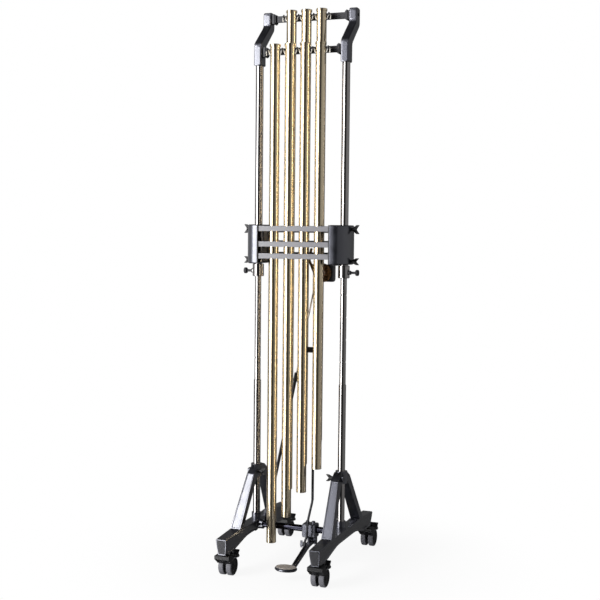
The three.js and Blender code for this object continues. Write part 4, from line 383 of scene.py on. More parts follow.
def wool_felt(colours):
    # Pressed wool felt: matt, with a soft fuzz that catches light at the edge
    material, tree, shader = new_material(
        "wool_felt", **{"Roughness": 0.95, "Sheen Weight": 0.5, "Sheen Roughness": 0.6})
    fibres = add_node(
        tree, "ShaderNodeTexNoise", values={"Scale": 1 / (1.1 * MM), "Detail": 6.0, "Roughness": 0.8},
        links={"Vector": stretched_coordinates(tree, (1, 1, 1))})
    tint(tree, shader, fibres.outputs["Fac"], shade(colours.felt, 0.6), shade(colours.felt, 1.8))
    bump = add_node(
        tree, "ShaderNodeBump", values={"Strength": 0.8, "Distance": 0.4 * MM},
        links={"Height": fibres.outputs["Fac"]})
    tree.links.new(bump.outputs["Normal"], shader.inputs["Normal"])
    return material


def laid_cord(colours):
    # Laid polyester cord: pale strands of slightly uneven yarn, with a little fuzz
    material, tree, shader = new_material(
        "laid_cord", **{"Roughness": 0.8, "Sheen Weight": 0.3, "Sheen Roughness": 0.5})
    yarn = add_node(
        tree, "ShaderNodeTexNoise", values={"Scale": 1 / (0.7 * MM), "Detail": 4.0, "Roughness": 0.7},
        links={"Vector": stretched_coordinates(tree, (1, 1, 1))})
    tint(tree, shader, yarn.outputs["Fac"], shade(colours.cord, 0.8), colours.cord)
    bump = add_node(
        tree, "ShaderNodeBump", values={"Strength": 0.5, "Distance": 0.15 * MM},
        links={"Height": yarn.outputs["Fac"]})
    tree.links.new(bump.outputs["Normal"], shader.inputs["Normal"])
    return material


def worn_pad(colours):
    # Grey top of the pedal's pad with a fine pitted texture, its colour made paler as a painted highlight
    material, tree, shader = new_material("worn_pad", **{"Metallic": 0.3})
    pits = add_node(
        tree, "ShaderNodeTexNoise", values={"Scale": 1 / (1.6 * MM), "Detail": 4.0, "Roughness": 0.7},
        links={"Vector": stretched_coordinates(tree, (1, 1, 1))})
    tint(tree, shader, pits.outputs["Fac"], shade(colours.pad, 0.7), shade(colours.pad, 1.15))
    rough = add_node(
        tree, "ShaderNodeMapRange", values={"From Min": 0.3, "From Max": 0.7, "To Min": 0.38, "To Max": 0.6},
        links={"Value": pits.outputs["Fac"]})
    tree.links.new(rough.outputs["Result"], shader.inputs["Roughness"])
    bump = add_node(
        tree, "ShaderNodeBump", values={"Strength": 0.5, "Distance": 0.15 * MM},
        links={"Height": pits.outputs["Fac"]})
    tree.links.new(bump.outputs["Normal"], shader.inputs["Normal"])
    return material


def bright_zinc(colours):
    # Bright zinc plate on drawn steel: pale with a rosy cast, mirror-like under a thin haze
    material, tree, shader = new_material("bright_zinc", **{"Metallic": 1.0})
    haze = add_node(
        tree, "ShaderNodeTexNoise", values={"Scale": 1 / (6 * MM), "Detail": 4.0, "Roughness": 0.6},
        links={"Vector": stretched_coordinates(tree, (1, 1, 0.2))})
    tint(tree, shader, haze.outputs["Fac"], shade(colours.zinc, 0.82), colours.zinc)
    rough = add_node(
        tree, "ShaderNodeMapRange", values={"From Min": 0.3, "From Max": 0.7, "To Min": 0.2, "To Max": 0.34},
        links={"Value": haze.outputs["Fac"]})
    tree.links.new(rough.outputs["Result"], shader.inputs["Roughness"])
    return material


def golden_passivation(colours):
    # Yellow passivated steel: golden brown with the cloudy tide marks of the bath
    material, tree, shader = new_material("golden_passivation", **{"Metallic": 1.0})
    clouds = add_node(
        tree, "ShaderNodeTexNoise", values={"Scale": 1 / (9 * MM), "Detail": 4.0, "Roughness": 0.7},
        links={"Vector": stretched_coordinates(tree, (1, 1, 1))})
    tint(
        tree, shader, clouds.outputs["Fac"], shade(colours.passivation, 0.25),
        shade(colours.passivation, 1.9))
    rough = add_node(
        tree, "ShaderNodeMapRange", values={"From Min": 0.3, "From Max": 0.7, "To Min": 0.24, "To Max": 0.4},
        links={"Value": clouds.outputs["Fac"]})
    tree.links.new(rough.outputs["Result"], shader.inputs["Roughness"])
    return material


def smoked_chrome(colours):
    # Dark chrome plate on drawn tube: deep grey mirror that a light haze softens
    material, tree, shader = new_material("smoked_chrome", **{"Metallic": 1.0})
    haze = add_node(
        tree, "ShaderNodeTexNoise", values={"Scale": 1 / (10 * MM), "Detail": 3.0},
        links={"Vector": stretched_coordinates(tree, (0.25, 1, 1))})
    tint(tree, shader, haze.outputs["Fac"], shade(colours.smoked, 0.8), shade(colours.smoked, 1.1))
    rough = add_node(
        tree, "ShaderNodeMapRange", values={"From Min": 0.3, "From Max": 0.7, "To Min": 0.12, "To Max": 0.2},
        links={"Value": haze.outputs["Fac"]})
    tree.links.new(rough.outputs["Result"], shader.inputs["Roughness"])
    return material


# Each finish: how it is made and the record's slot that it stands for
FINISHES = {
    "brass": (satin_brass, "brass"),
    "chrome": (chrome_plate, "chrome"),
    "enamel": (black_enamel, "black_casting"),
    "bar": (satin_bar, "grey_bar"),
    "steel": (black_steel, "black_steel"),
    "nylon": (moulded_nylon, "moulding"),
    "tread": (polyurethane_tread, "tread"),
    "felt": (wool_felt, "grey_bar"),
    "cord": (laid_cord, "cord"),
    "pad": (worn_pad, "black_casting"),
    "zinc": (bright_zinc, "zinc"),
    "passivation": (golden_passivation, "passivated"),
    "smoked": (smoked_chrome, "chrome"),
}


def finish_material(finish):
    """The material of a finish, made the first time that it is asked for."""
    make = FINISHES[finish][0]
    found = bpy.data.materials.get(make.__name__)
    return found or make(bpy.context.scene.finish_colours)


# Meshes


def corners(node):
    """Lowest and highest corner of a node, in metres."""
    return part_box(node)


def middle(node):
    """Middle of a node's box, in metres."""
    low, high = corners(node)
    return (low + high) / 2


def body_of_node(node):
    """Name of the body that carries a node."""
    return next(name for name, nodes in frame["record"]["behaviour"]["bodies"].items() if node in nodes)


def new_object(name, mesh):
    """An object for a mesh, at the origin of the scene."""
    piece = bpy.data.objects.new(name, mesh)
    bpy.context.scene.collection.objects.link(piece)
    return piece


def with_modifiers_applied(piece, name):
    """Turns an object with modifiers into a plain mesh piece."""
    mesh = bpy.data.meshes.new_from_object(piece.evaluated_get(bpy.context.evaluated_depsgraph_get()))
    mesh.name = name
    bpy.data.objects.remove(piece)
    return new_object(name, mesh)


def declare(piece, finish, node, replaced=True):
    """Gives a piece its finish and makes it ride on the body of its node."""
    if not piece.data.materials:
        piece.data.materials.append(finish_material(finish))
    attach(piece, body_of_node(node))
    if replaced:
        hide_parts(node)
    return piece


def span(face):
    """Lowest and highest corner of a face."""
    return [Vector([pick(v.co[i] for v in face.verts) for i in range(3)]) for pick in (min, max)]


def sink_panel(shape, face, panel):
    """Sinks a panel into a flat face, or raises it where its depth is below zero."""
    if panel.margin:
        bmesh.ops.inset_region(
            shape, faces=[face], thickness=panel.margin * MM, depth=0, use_even_offset=True)
    bmesh.ops.inset_region(
        shape, faces=[face], thickness=panel.wall * MM, depth=-panel.depth * MM, use_even_offset=True)


def has_room(shape, face, panel):
    """Whether a panel stays inside its face."""
    shape.faces.index_update()
    trial = shape.copy()
    trial.faces.ensure_lookup_table()
    inner = trial.faces[face.index]
    low, high = span(inner)
    area = inner.calc_area()
    sink_panel(trial, inner, panel)
    new_low, new_high = span(inner)
    slack = abs(panel.depth) * MM * 1.01
    inside = all(new_low[i] >= low[i] - slack and new_high[i] <= high[i] + slack for i in range(3))
    smaller = inner.calc_area() < area
    trial.free()
    return inside and smaller


def faces_towards(shape, direction, least_area):
    """Faces that look along a direction and have at least an area in square millimetres."""
    facing = Vector(direction).normalized()
    return [f for f in shape.faces if f.normal.dot(facing) > FACING and f.calc_area() > least_area * MM * MM]


def cast_panels(shape, panels):
    """Casts each panel into the faces that have room for it."""
    for panel in panels:
        for face in faces_towards(shape, panel.direction, panel.least_area):
            if has_room(shape, face, panel):
                sink_panel(shape, face, panel)


def mark_edges(shape):
    """Marks the sharp edges of a shape as the ones to round."""
    weight = shape.edges.layers.float.new("bevel_weight_edge")
    for edge in shape.edges:
        edge[weight] = float(edge.calc_face_angle(0) > EDGE_ANGLE)


def rounded(name, shape, width, steps=2, panels=()):
    """A piece from a bmesh, with its panels cast, its sharp edges rounded and its faces shaded smooth."""
    mark_edges(shape)
    cast_panels(shape, panels)
    for face in shape.faces:
        face.smooth = True
    mesh = bpy.data.meshes.new(name)
    shape.to_mesh(mesh)
    shape.free()
    piece = new_object(name, mesh)
    if width > 0:
        bevel = piece.modifiers.new("edges", "BEVEL")
        bevel.width = width * MM
        bevel.segments = steps
        bevel.limit_method = "WEIGHT"
        bevel.miter_outer = "MITER_ARC"
        piece = with_modifiers_applied(piece, name)
    weighted = piece.modifiers.new("weighted", "WEIGHTED_NORMAL")
    weighted.keep_sharp = True
    piece.data.set_sharp_from_angle(angle=PANEL_SHARP_ANGLE if panels else PLAIN_SHARP_ANGLE)
    return with_modifiers_applied(piece, name)


def frame_shape(node):
    """A merged copy of a node's mesh with flat faces joined."""
    shape = bmesh.new()
    shape.from_mesh(frame["nodes"][node].data)
    bmesh.ops.remove_doubles(shape, verts=shape.verts, dist=SAME_FRAME_POINT * MM)
    bmesh.ops.dissolve_limit(
        shape, angle_limit=FLAT_ANGLE, verts=shape.verts, edges=shape.edges, delimit=set())
    return shape


def dress_node(node, finish, width, steps=2, panels=()):
    """Stands a piece with rounded edges for a node of the frame."""
    return declare(rounded(f"{node}_dressed", frame_shape(node), width, steps, panels), finish, node)


def turned(shape, profile, base, axis, sides):
    """Turns a closed profile of (radius, distance) millimetres about an axis through a point."""
    axis = axis.normalized()
    side = axis.orthogonal().normalized()
    other = axis.cross(side)
    rings = []
    for radius, distance in profile:
        centre = base + axis * distance * MM
        if radius == 0:
            rings.append([shape.verts.new(centre)] * sides)
            continue
        ring = []
        for k in range(sides):
            angle = 2 * math.pi * k / sides
            outwards_way = side * math.cos(angle) + other * math.sin(angle)
            ring.append(shape.verts.new(centre + outwards_way * radius * MM))
        rings.append(ring)
    for ring, following in zip(rings, rings[1:] + rings[:1]):
        if ring[0] is ring[1] and following[0] is following[1]:
            continue
        for k in range(sides):
            n = (k + 1) % sides
            loop = list(dict.fromkeys((ring[k], ring[n], following[n], following[k])))
            shape.faces.new(loop)
    return shape


def slab(shape, low, high):
    """Adds a box between two corners in metres."""
    size = high - low
    place = Matrix.Translation((low + high) / 2) @ Matrix.Diagonal((*size, 1))
    bmesh.ops.create_cube(shape, size=1, matrix=place)
    return shape


def outwards(shape):
    """Merges doubles and points all faces outwards."""
    bmesh.ops.remove_doubles(shape, verts=shape.verts, dist=SAME_POINT * MM)
    bmesh.ops.recalc_face_normals(shape, faces=shape.faces)
    return shape


def upright_size(node):
    """Radius and height of an upright round node, in millimetres."""
    low, high = corners(node)
    return (high.x - low.x) / 2 / MM, (high.z - low.z) / MM


def turned_upright(name, node, outline, sides):
    """A piece turned about the upright axis of a node, with heights from the node's foot."""
    centre = middle(node)
    foot = Vector((centre.x, centre.y, corners(node)[0].z))
    return rounded(name, outwards(turned(bmesh.new(), outline, foot, AXIS_Z, sides)), 0)


def bored(piece, cutter_shape):
    """Cuts a hole through a piece with another shape."""
    mesh = bpy.data.meshes.new("cutter")
    outwards(cutter_shape).to_mesh(mesh)
    cutter_shape.free()
    cutter = new_object("cutter", mesh)
    hole = piece.modifiers.new("hole", "BOOLEAN")
    hole.operation = "DIFFERENCE"
    hole.solver = "EXACT"
    hole.object = cutter
    name = piece.name
    piece.name = f"{name}_solid"
    cut = with_modifiers_applied(piece, name)
    bpy.data.objects.remove(cutter)
    return cut


# Geometry Nodes trees


def new_geometry_tree(name, inputs):
    """An empty Geometry Nodes tree with named inputs, and its input node."""
    tree = bpy.data.node_groups.new(name, "GeometryNodeTree")
    tree.interface.new_socket("Geometry", in_out="OUTPUT", socket_type="NodeSocketGeometry")
    for label, kind in inputs:
        tree.interface.new_socket(label, in_out="INPUT", socket_type=f"NodeSocket{kind}")
    return tree, add_node(tree, "NodeGroupInput")


def end_tree(tree, geometry, material):
    """Ends a tree in Realize Instances and Set Material."""
    real = add_node(tree, "GeometryNodeRealizeInstances", links={"Geometry": geometry})
    coloured = add_node(
        tree, "GeometryNodeSetMaterial", links={"Geometry": real.outputs["Geometry"], "Material": material})
    add_node(tree, "NodeGroupOutput", links={"Geometry": coloured.outputs["Geometry"]})
    return tree


def row_tree():
    """Copies of a part in a straight row."""
    tree, given = new_geometry_tree("row_of_parts", [
        ("Part", "Object"), ("Count", "Int"), ("Start", "Vector"), ("Step", "Vector"),
        ("Material", "Material")])
    part = add_node(tree, "GeometryNodeObjectInfo", values={"As Instance": True}, links={
        "Object": given.outputs["Part"]})
    line = add_node(tree, "GeometryNodeMeshLine", settings={"mode": "OFFSET"}, links={
        "Count": given.outputs["Count"], "Start Location": given.outputs["Start"],
        "Offset": given.outputs["Step"]})
    copies = add_node(tree, "GeometryNodeInstanceOnPoints", links={
        "Points": line.outputs["Mesh"], "Instance": part.outputs["Geometry"]})
    return end_tree(tree, copies.outputs["Instances"], given.outputs["Material"])


def ring_tree():
    """Copies of a part turned evenly about a centre, in the plane that a rotation gives."""
    tree, given = new_geometry_tree("ring_of_parts", [
        ("Part", "Object"), ("Count", "Int"), ("Centre", "Vector"), ("Rotation", "Vector"),
        ("Material", "Material")])
    part = add_node(tree, "GeometryNodeObjectInfo", values={"As Instance": True}, links={
        "Object": given.outputs["Part"]})
    points = add_node(tree, "GeometryNodePoints", links={"Count": given.outputs["Count"]})
    index = add_node(tree, "GeometryNodeInputIndex")
    turn = add_node(tree, "ShaderNodeMath", settings={"operation": "DIVIDE"}, links={
        0: index.outputs["Index"], 1: given.outputs["Count"]})
    angle = add_node(
        tree, "ShaderNodeMath", settings={"operation": "MULTIPLY"}, values={1: 2 * math.pi},
        links={0: turn.outputs["Value"]})
    about = add_node(tree, "ShaderNodeCombineXYZ", links={"Z": angle.outputs["Value"]})
    copies = add_node(tree, "GeometryNodeInstanceOnPoints", links={
        "Points": points.outputs["Points"], "Instance": part.outputs["Geometry"],
        "Rotation": about.outputs["Vector"]})
    placed = add_node(tree, "GeometryNodeTransform", links={
        "Geometry": copies.outputs["Instances"], "Translation": given.outputs["Centre"],
        "Rotation": given.outputs["Rotation"]})
    return end_tree(tree, placed.outputs["Geometry"], given.outputs["Material"])


def strand_tree():
    """Strands laid round a path, as in a rope."""
    tree, given = new_geometry_tree("laid_strands", [
        ("Path", "Object"), ("Strands", "Int"), ("Strand Radius", "Float"), ("Lay Radius", "Float"),
        ("Lay Length", "Float"), ("Step", "Float"), ("Material", "Material")])
    path = add_node(tree, "GeometryNodeObjectInfo", links={"Object": given.outputs["Path"]})
    even = add_node(tree, "GeometryNodeResampleCurve", settings={"mode": "LENGTH"}, links={
        "Curve": path.outputs["Geometry"], "Length": given.outputs["Step"]})
    copies = add_node(tree, "GeometryNodeDuplicateElements", settings={"domain": "SPLINE"}, links={
        "Geometry": even.outputs["Curve"], "Amount": given.outputs["Strands"]})
    along = add_node(tree, "GeometryNodeSplineParameter")
    twists = add_node(tree, "ShaderNodeMath", settings={"operation": "DIVIDE"}, links={
        0: along.outputs["Length"], 1: given.outputs["Lay Length"]})
    phase = add_node(tree, "ShaderNodeMath", settings={"operation": "DIVIDE"}, links={
        0: copies.outputs["Duplicate Index"], 1: given.outputs["Strands"]})
    turns = add_node(tree, "ShaderNodeMath", settings={"operation": "ADD"}, links={
        0: twists.outputs["Value"], 1: phase.outputs["Value"]})
    angle = add_node(
        tree, "ShaderNodeMath", settings={"operation": "MULTIPLY"}, values={1: 2 * math.pi},
        links={0: turns.outputs["Value"]})
    tangent = add_node(tree, "GeometryNodeInputTangent")
    normal = add_node(tree, "GeometryNodeInputNormal")
    spin = add_node(tree, "ShaderNodeVectorRotate", settings={"rotation_type": "AXIS_ANGLE"}, links={
        "Vector": normal.outputs["Normal"], "Axis": tangent.outputs["Tangent"],
        "Angle": angle.outputs["Value"]})
    aside = add_node(tree, "ShaderNodeVectorMath", settings={"operation": "SCALE"}, links={
        0: spin.outputs["Vector"], "Scale": given.outputs["Lay Radius"]})
    moved = add_node(tree, "GeometryNodeSetPosition", links={
        "Geometry": copies.outputs["Geometry"], "Offset": aside.outputs["Vector"]})
    section = add_node(tree, "GeometryNodeCurvePrimitiveCircle", values={"Resolution": 8}, links={
        "Radius": given.outputs["Strand Radius"]})
    solid = add_node(tree, "GeometryNodeCurveToMesh", values={"Fill Caps": True}, links={
        "Curve": moved.outputs["Geometry"], "Profile Curve": section.outputs["Curve"]})
    smooth = add_node(tree, "GeometryNodeSetShadeSmooth", links={"Geometry": solid.outputs["Mesh"]})
    return end_tree(tree, smooth.outputs["Geometry"], given.outputs["Material"])


TREES = {"row": row_tree, "ring": ring_tree, "strands": strand_tree}


def grown(name, kind, finish, node, **inputs):
    """A plain mesh piece from a Geometry Nodes tree whose inputs are set by name."""
    tree = bpy.data.node_groups.get(TREES[kind].__name__) or TREES[kind]()
    tree.name = TREES[kind].__name__
    holder = new_object(f"{name}_holder", bpy.data.meshes.new(f"{name}_holder"))
    modifier = holder.modifiers.new("tree", "NODES")
    modifier.node_group = tree
    inputs["Material"] = finish_material(finish)
    for item in tree.interface.items_tree:
        if item.in_out == "INPUT":
            modifier[item.identifier] = inputs[item.name]
    return declare(with_modifiers_applied(holder, name), finish, node, replaced=False)


def spare_part(name, shape):
    """A part at the origin for a tree to copy."""
    mesh = bpy.data.meshes.new(name)
    outwards(shape).to_mesh(mesh)
    shape.free()
    for polygon in mesh.polygons:
        polygon.use_smooth = True
    mesh.set_sharp_from_angle(angle=PART_SHARP_ANGLE)
    return new_object(name, mesh)


def copied(name, kind, finish, node, part, **inputs):
    """A piece made of copies of a spare part, which is then removed."""
    piece = grown(name, kind, finish, node, Part=part, **inputs)
    bpy.data.objects.remove(part)
    return piece


def screw_part(name, radius, height, socket):
    """A button-head screw along Z with a hexagonal socket."""
    profile = [
        (0, height), (socket, height), (radius * 0.7, height * 0.95), (radius * 0.94, height * 0.55),
        (radius, height * 0.15), (radius, -SCREW_SEAT), (0, -SCREW_SEAT)]
    part = spare_part(name, turned(bmesh.new(), profile, Vector(), AXIS_Z, SMALL_SIDES))
    top = height + 1
    floor = height * 0.35
    hollow = [(0, top), (socket, top), (socket, floor), (0, floor)]
    return bored(part, turned(bmesh.new(), hollow, Vector(), AXIS_Z, HEXAGON))


# Operators


class PieceOperator(bpy.types.Operator):
    """Base of the operators that make pieces."""

    bl_options = {"REGISTER", "UNDO"}


class BELLS_OT_stage(PieceOperator):
    """Makes the floor, the studio light and the camera"""

    bl_idname = "bells.stage"
    bl_label = "Stage"

    camera_place = (1.5435, -4.033, 1.2879)
    target = (-0.00068, -0.040, 1.0193)
    floor_size = 40.0
    sensor_width = 36
    # Brightness at which the ramp of the studio is white
    studio_peak = 2.0
    # Middle, size and setting of the power of each lamp
    lamps = {
        "left_softbox": ((-3.1, -4.03, 1.72), (2.8, 3.4), "softbox"),
        "overhead_softbox": ((-3.6, -4.03, 4.6), (2.5, 2.0), "overhead"),
    }
    # Bearings in degrees to the right of straight in front of the bells, with the brightness that shiny
    # pieces see there
    studio_ring = (
        (-180, 0.1), (-150, 0.1), (-135, 0.35), (-107, 0.5), (-95, 0.5), (-82, 0.36), (-60, 0.36),
        (-50, 0.85), (-27, 0.85), (-23, 0.45), (-8, 0.42), (2, 0.14), (10, 0.01), (34, 0.01),
        (44, 0.22), (56, 0.36), (81, 0.36), (110, 0.4), (130, 0.34), (149, 0.24), (160, 0.12), (180, 0.1))

    def execute(self, context):
        settings = context.scene.studio_settings
        self.make_floor()
        self.make_world(context, settings)
        self.make_lights(context, settings)
        self.make_camera(context, settings)
        return {"FINISHED"}

    def ring_of_light(self, tree, vector):
        """Brightness of the studio by the bearing of a vector, as a share of its peak."""
        parts = add_node(tree, "ShaderNodeSeparateXYZ", links={"Vector": vector})
        facing = add_node(
            tree, "ShaderNodeMath", settings={"operation": "MULTIPLY"}, values={1: -1.0},
            links={0: parts.outputs["Y"]})
        bearing = add_node(tree, "ShaderNodeMath", settings={"operation": "ARCTAN2"}, links={
            0: parts.outputs["X"], 1: facing.outputs["Value"]})
        share = add_node(
            tree, "ShaderNodeMapRange", values={"From Min": -math.pi, "From Max": math.pi},
            links={"Value": bearing.outputs["Value"]})
        ring = add_node(tree, "ShaderNodeValToRGB", links={"Fac": share.outputs["Result"]})
        points = ring.color_ramp.elements
        while len(points) < len(self.studio_ring):
            points.new(0.5)
        for point, (degrees, brightness) in zip(points, self.studio_ring):
            point.position = (degrees + 180) / 360
            point.color = (*[brightness / self.studio_peak] * 3, 1)
        return ring.outputs["Color"]

    def mirrored_rays(self, tree, rays):
        """One for the rays that a shiny or clear surface sends out, else zero."""
        return add_node(tree, "ShaderNodeMath", settings={"operation": "MAXIMUM"}, links={
            0: rays.outputs["Is Glossy Ray"], 1: rays.outputs["Is Transmission Ray"]}).outputs["Value"]

    def make_floor(self):
        # White paper that keeps a faint shadow near the stand and fades to pure white, and that mirrors
        # the lamps towards the lower parts of the bells as a polished studio floor does
        shape = bmesh.new()
        bmesh.ops.create_grid(shape, x_segments=8, y_segments=8, size=self.floor_size / 2)
        mesh = bpy.data.meshes.new("studio_floor")
        shape.to_mesh(mesh)
        shape.free()
        floor = new_object("studio_floor", mesh)
        material = bpy.data.materials.new("studio_floor")
        material.use_nodes = True
        tree = material.node_tree
        tree.nodes.clear()
        place = add_node(tree, "ShaderNodeTexCoord").outputs["Object"]
        paper = add_node(tree, "ShaderNodeBsdfDiffuse", values={"Color": linear("#f4f4f4")})
        glow = add_node(tree, "ShaderNodeEmission", values={"Color": linear("#ffffff"), "Strength": 1.0})
        rays = add_node(tree, "ShaderNodeLightPath")
        away = add_node(tree, "ShaderNodeVectorMath", settings={"operation": "LENGTH"}, links={0: place})
        white = add_node(
            tree, "ShaderNodeMapRange", settings={"interpolation_type": "SMOOTHSTEP"},
            values={"From Min": 0.3, "From Max": 1.0, "To Min": 0.9, "To Max": 1.0},
            links={"Value": away.outputs["Value"]})
        share = add_node(tree, "ShaderNodeMath", settings={"operation": "MULTIPLY"}, links={
            0: rays.outputs["Is Camera Ray"], 1: white.outputs["Result"]})
        seen = add_node(tree, "ShaderNodeMixShader", links={
            0: share.outputs["Value"], 1: paper.outputs["BSDF"], 2: glow.outputs["Emission"]})
        mirror = add_node(
            tree, "ShaderNodeBsdfGlossy", values={"Color": linear("#dadada"), "Roughness": 0.12})
        surface = add_node(tree, "ShaderNodeMixShader", links={
            0: self.mirrored_rays(tree, rays), 1: seen.outputs["Shader"], 2: mirror.outputs["BSDF"]})
        add_node(tree, "ShaderNodeOutputMaterial", links={"Surface": surface.outputs["Shader"]})
        mesh.materials.append(material)

    def make_world(self, context, settings):
        # The camera sees white paper. Shiny pieces see bright flats at the front left, dimmer ones at both
        # sides, and next to nothing behind the camera, behind the object and overhead
        world = bpy.data.worlds.new("studio")
        context.scene.world = world
        world.use_nodes = True
        tree = world.node_tree
        tree.nodes.clear()
        direction = add_node(tree, "ShaderNodeTexCoord").outputs["Generated"]
        height = add_node(tree, "ShaderNodeSeparateXYZ", links={"Vector": direction})
        dimmed = add_node(
            tree, "ShaderNodeMapRange",
            values={"From Min": 0.5, "From Max": 0.75, "To Min": self.studio_peak, "To Max": 0.15},
            links={"Value": height.outputs["Z"]})
        seen = add_node(tree, "ShaderNodeBackground", links={
            "Color": self.ring_of_light(tree, direction), "Strength": dimmed.outputs["Result"]})
        plain = add_node(tree, "ShaderNodeBackground", values={"Strength": settings.fill})
        white = add_node(
            tree, "ShaderNodeBackground", values={"Color": linear("#ffffff"), "Strength": 1.0})
        rays = add_node(tree, "ShaderNodeLightPath")
        objects_see = add_node(tree, "ShaderNodeMixShader", links={
            0: self.mirrored_rays(tree, rays), 1: plain.outputs["Background"],
            2: seen.outputs["Background"]})
        all_see = add_node(tree, "ShaderNodeMixShader", links={
            0: rays.outputs["Is Camera Ray"], 1: objects_see.outputs["Shader"],
            2: white.outputs["Background"]})
        add_node(tree, "ShaderNodeOutputWorld", links={"Surface": all_see.outputs["Shader"]})

    def make_lights(self, context, settings):
        for name, (place, size, power) in self.lamps.items():
            light = bpy.data.lights.new(name, "AREA")
            light.shape = "RECTANGLE"
            light.size, light.size_y = size
            light.energy = getattr(settings, power)
            lamp = bpy.data.objects.new(name, light)
            lamp.location = place
            lamp.rotation_euler = (math.radians(90), 0, 0)
            context.scene.collection.objects.link(lamp)

    def make_camera(self, context, settings):
        data = bpy.data.cameras.new("photo_camera")
        data.lens = settings.lens
        data.sensor_width = self.sensor_width
        camera = bpy.data.objects.new("photo_camera", data)
        camera.location = self.camera_place
        ahead = Vector(self.target) - Vector(self.camera_place)
        roll = Matrix.Rotation(settings.roll, 3, "Z")
        turn = ahead.to_track_quat("-Z", "Y").to_matrix() @ roll
        camera.rotation_euler = turn.to_euler()
        context.scene.collection.objects.link(camera)
        context.scene.camera = camera


class BELLS_OT_bells(PieceOperator):
    """Turns the seven capped brass tubes and bores their cord holes"""

    bl_idname = "bells.bells"
    bl_label = "Bells"

    # Millimetres: groove under the cap, underside of the cap, dimple in its crown, drill's run past the tube
    seam = 0.5
    roof = 4
    dimple_radius = 5.5
    dimple_depth = 1.3
    overrun = 2

    def execute(self, context):
        sizes = context.scene.bell_sizes
        for node in [n for n in frame["nodes"] if n.startswith("bell_")]:
            self.make_bell(node, sizes)
        return {"FINISHED"}

    def make_bell(self, node, sizes):
        low, high = corners(node)
        cap_radius, length = upright_size(node)
        tube = turned_upright(f"{node}_tube", node, self.outline(sizes, cap_radius, length), BELL_SIDES)
        start = Vector((low.x - self.overrun * MM, middle(node).y, high.z - HOLE_DEPTH * MM))
        reach = 2 * (cap_radius + self.overrun)
        hole = [(0, 0), (HOLE_RADIUS, 0), (HOLE_RADIUS, reach), (0, reach)]
        declare(bored(tube, turned(bmesh.new(), hole, start, AXIS_X, SMALL_SIDES)), "brass", node)

    def outline(self, sizes, cap_radius, length):
        """Outline of a capped tube, from the inside of its foot to the underside of its cap."""
        radius = sizes.tube_diameter / 2 / MM
        bore = radius - sizes.wall / MM
        edge = sizes.edge / MM
        cap_foot = length - sizes.cap_height / MM
        neck = radius - self.seam
        dimple = length - self.dimple_depth
        return [
            (bore, edge / 2), (bore + edge / 2, 0), (radius - edge, 0), (radius - edge * 0.3, edge * 0.3),
            (radius, edge), (radius, length * 0.25), (radius, length * 0.5), (radius, length * 0.75),
            (radius, cap_foot - self.seam), (neck, cap_foot - self.seam), (neck, cap_foot),
            (cap_radius - edge * 0.4, cap_foot), (cap_radius, cap_foot + edge * 0.4),
            (cap_radius, length - 1.6 * edge), (cap_radius - edge * 0.5, length - edge * 0.5),
            (cap_radius - 1.7 * edge, length), (self.dimple_radius, length),
            (self.dimple_radius - 1, length - 0.9), (self.dimple_radius - 2.3, dimple), (0, dimple),
            (0, length - self.roof), (bore, length - self.roof)]


class BELLS_OT_cords(PieceOperator):
    """Laces the two laid suspension cords over the pegs and through the bells"""

    bl_idname = "bells.cords"
    bl_label = "Suspension cords"

    # Millimetres: radius of a strand, its distance from the cord's middle, step between points of the path
    strand_radius = 0.95
    lay_radius = 0.8
    path_step = 0.9

    def execute(self, context):
        sizes = context.scene.bell_sizes
        for row, bells in ROWS.items():
            node = f"{row}_row_cord"
            path = self.make_path(node, self.route(node, bells, sizes))
            piece = grown(f"{node}_laid", "strands", "cord", node, **{
                "Path": path, "Strands": sizes.strands, "Strand Radius": self.strand_radius * MM,
                "Lay Radius": self.lay_radius * MM, "Lay Length": sizes.lay, "Step": self.path_step * MM})
            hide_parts(node)
            bpy.data.objects.remove(path)
        return {"FINISHED"}

    def route(self, node, bells, sizes):
        """Points of a cord's route in millimetres, hung over each peg and straight through each bell."""
        over = PEG_RADIUS + CORD_RADIUS + CORD_LIFT
        xs = [middle(bell).x / MM for bell in bells]
        pitch = xs[1] - xs[0]
        radius = sizes.tube_diameter / 2 / MM
        inside = radius - sizes.wall / MM
        outside = radius + CORD_STRAIGHT
        hole_z = corners(bells[0])[1].z / MM - HOLE_DEPTH
        peg_z = corners(node)[1].z / MM - over - CORD_RADIUS
        pegs = [xs[0] + (i - 0.5) * pitch for i in range(len(xs) + 1)]
        points = [(pegs[0] - over, peg_z - CORD_TAIL)]
        for i, peg in enumerate(pegs):
            lean = CORD_END_LEAN if i in (0, len(pegs) - 1) else CORD_LEAN
            for k in range(CORD_ARC_POINTS):
                angle = math.pi * (0.5 + lean * (1 - 2 * k / (CORD_ARC_POINTS - 1)))
                points.append((peg + over * math.cos(angle), peg_z + over * math.sin(angle)))
            if i < len(xs):
                points += [(xs[i] + dx, hole_z) for dx in (-outside, -inside, 0, inside, outside)]
        points.append((pegs[-1] + over, peg_z - CORD_TAIL))
        return points

    def make_path(self, node, points):
        y = middle(node).y
        curve = bpy.data.curves.new(f"{node}_path", "CURVE")
        curve.dimensions = "3D"
        curve.resolution_u = 12
        spline = curve.splines.new("BEZIER")
        spline.bezier_points.add(len(points) - 1)
        for point, (x, z) in zip(spline.bezier_points, points):
            point.co = (x * MM, y, z * MM)
            point.handle_left_type = point.handle_right_type = "AUTO"
        return new_object(f"{node}_path", curve)


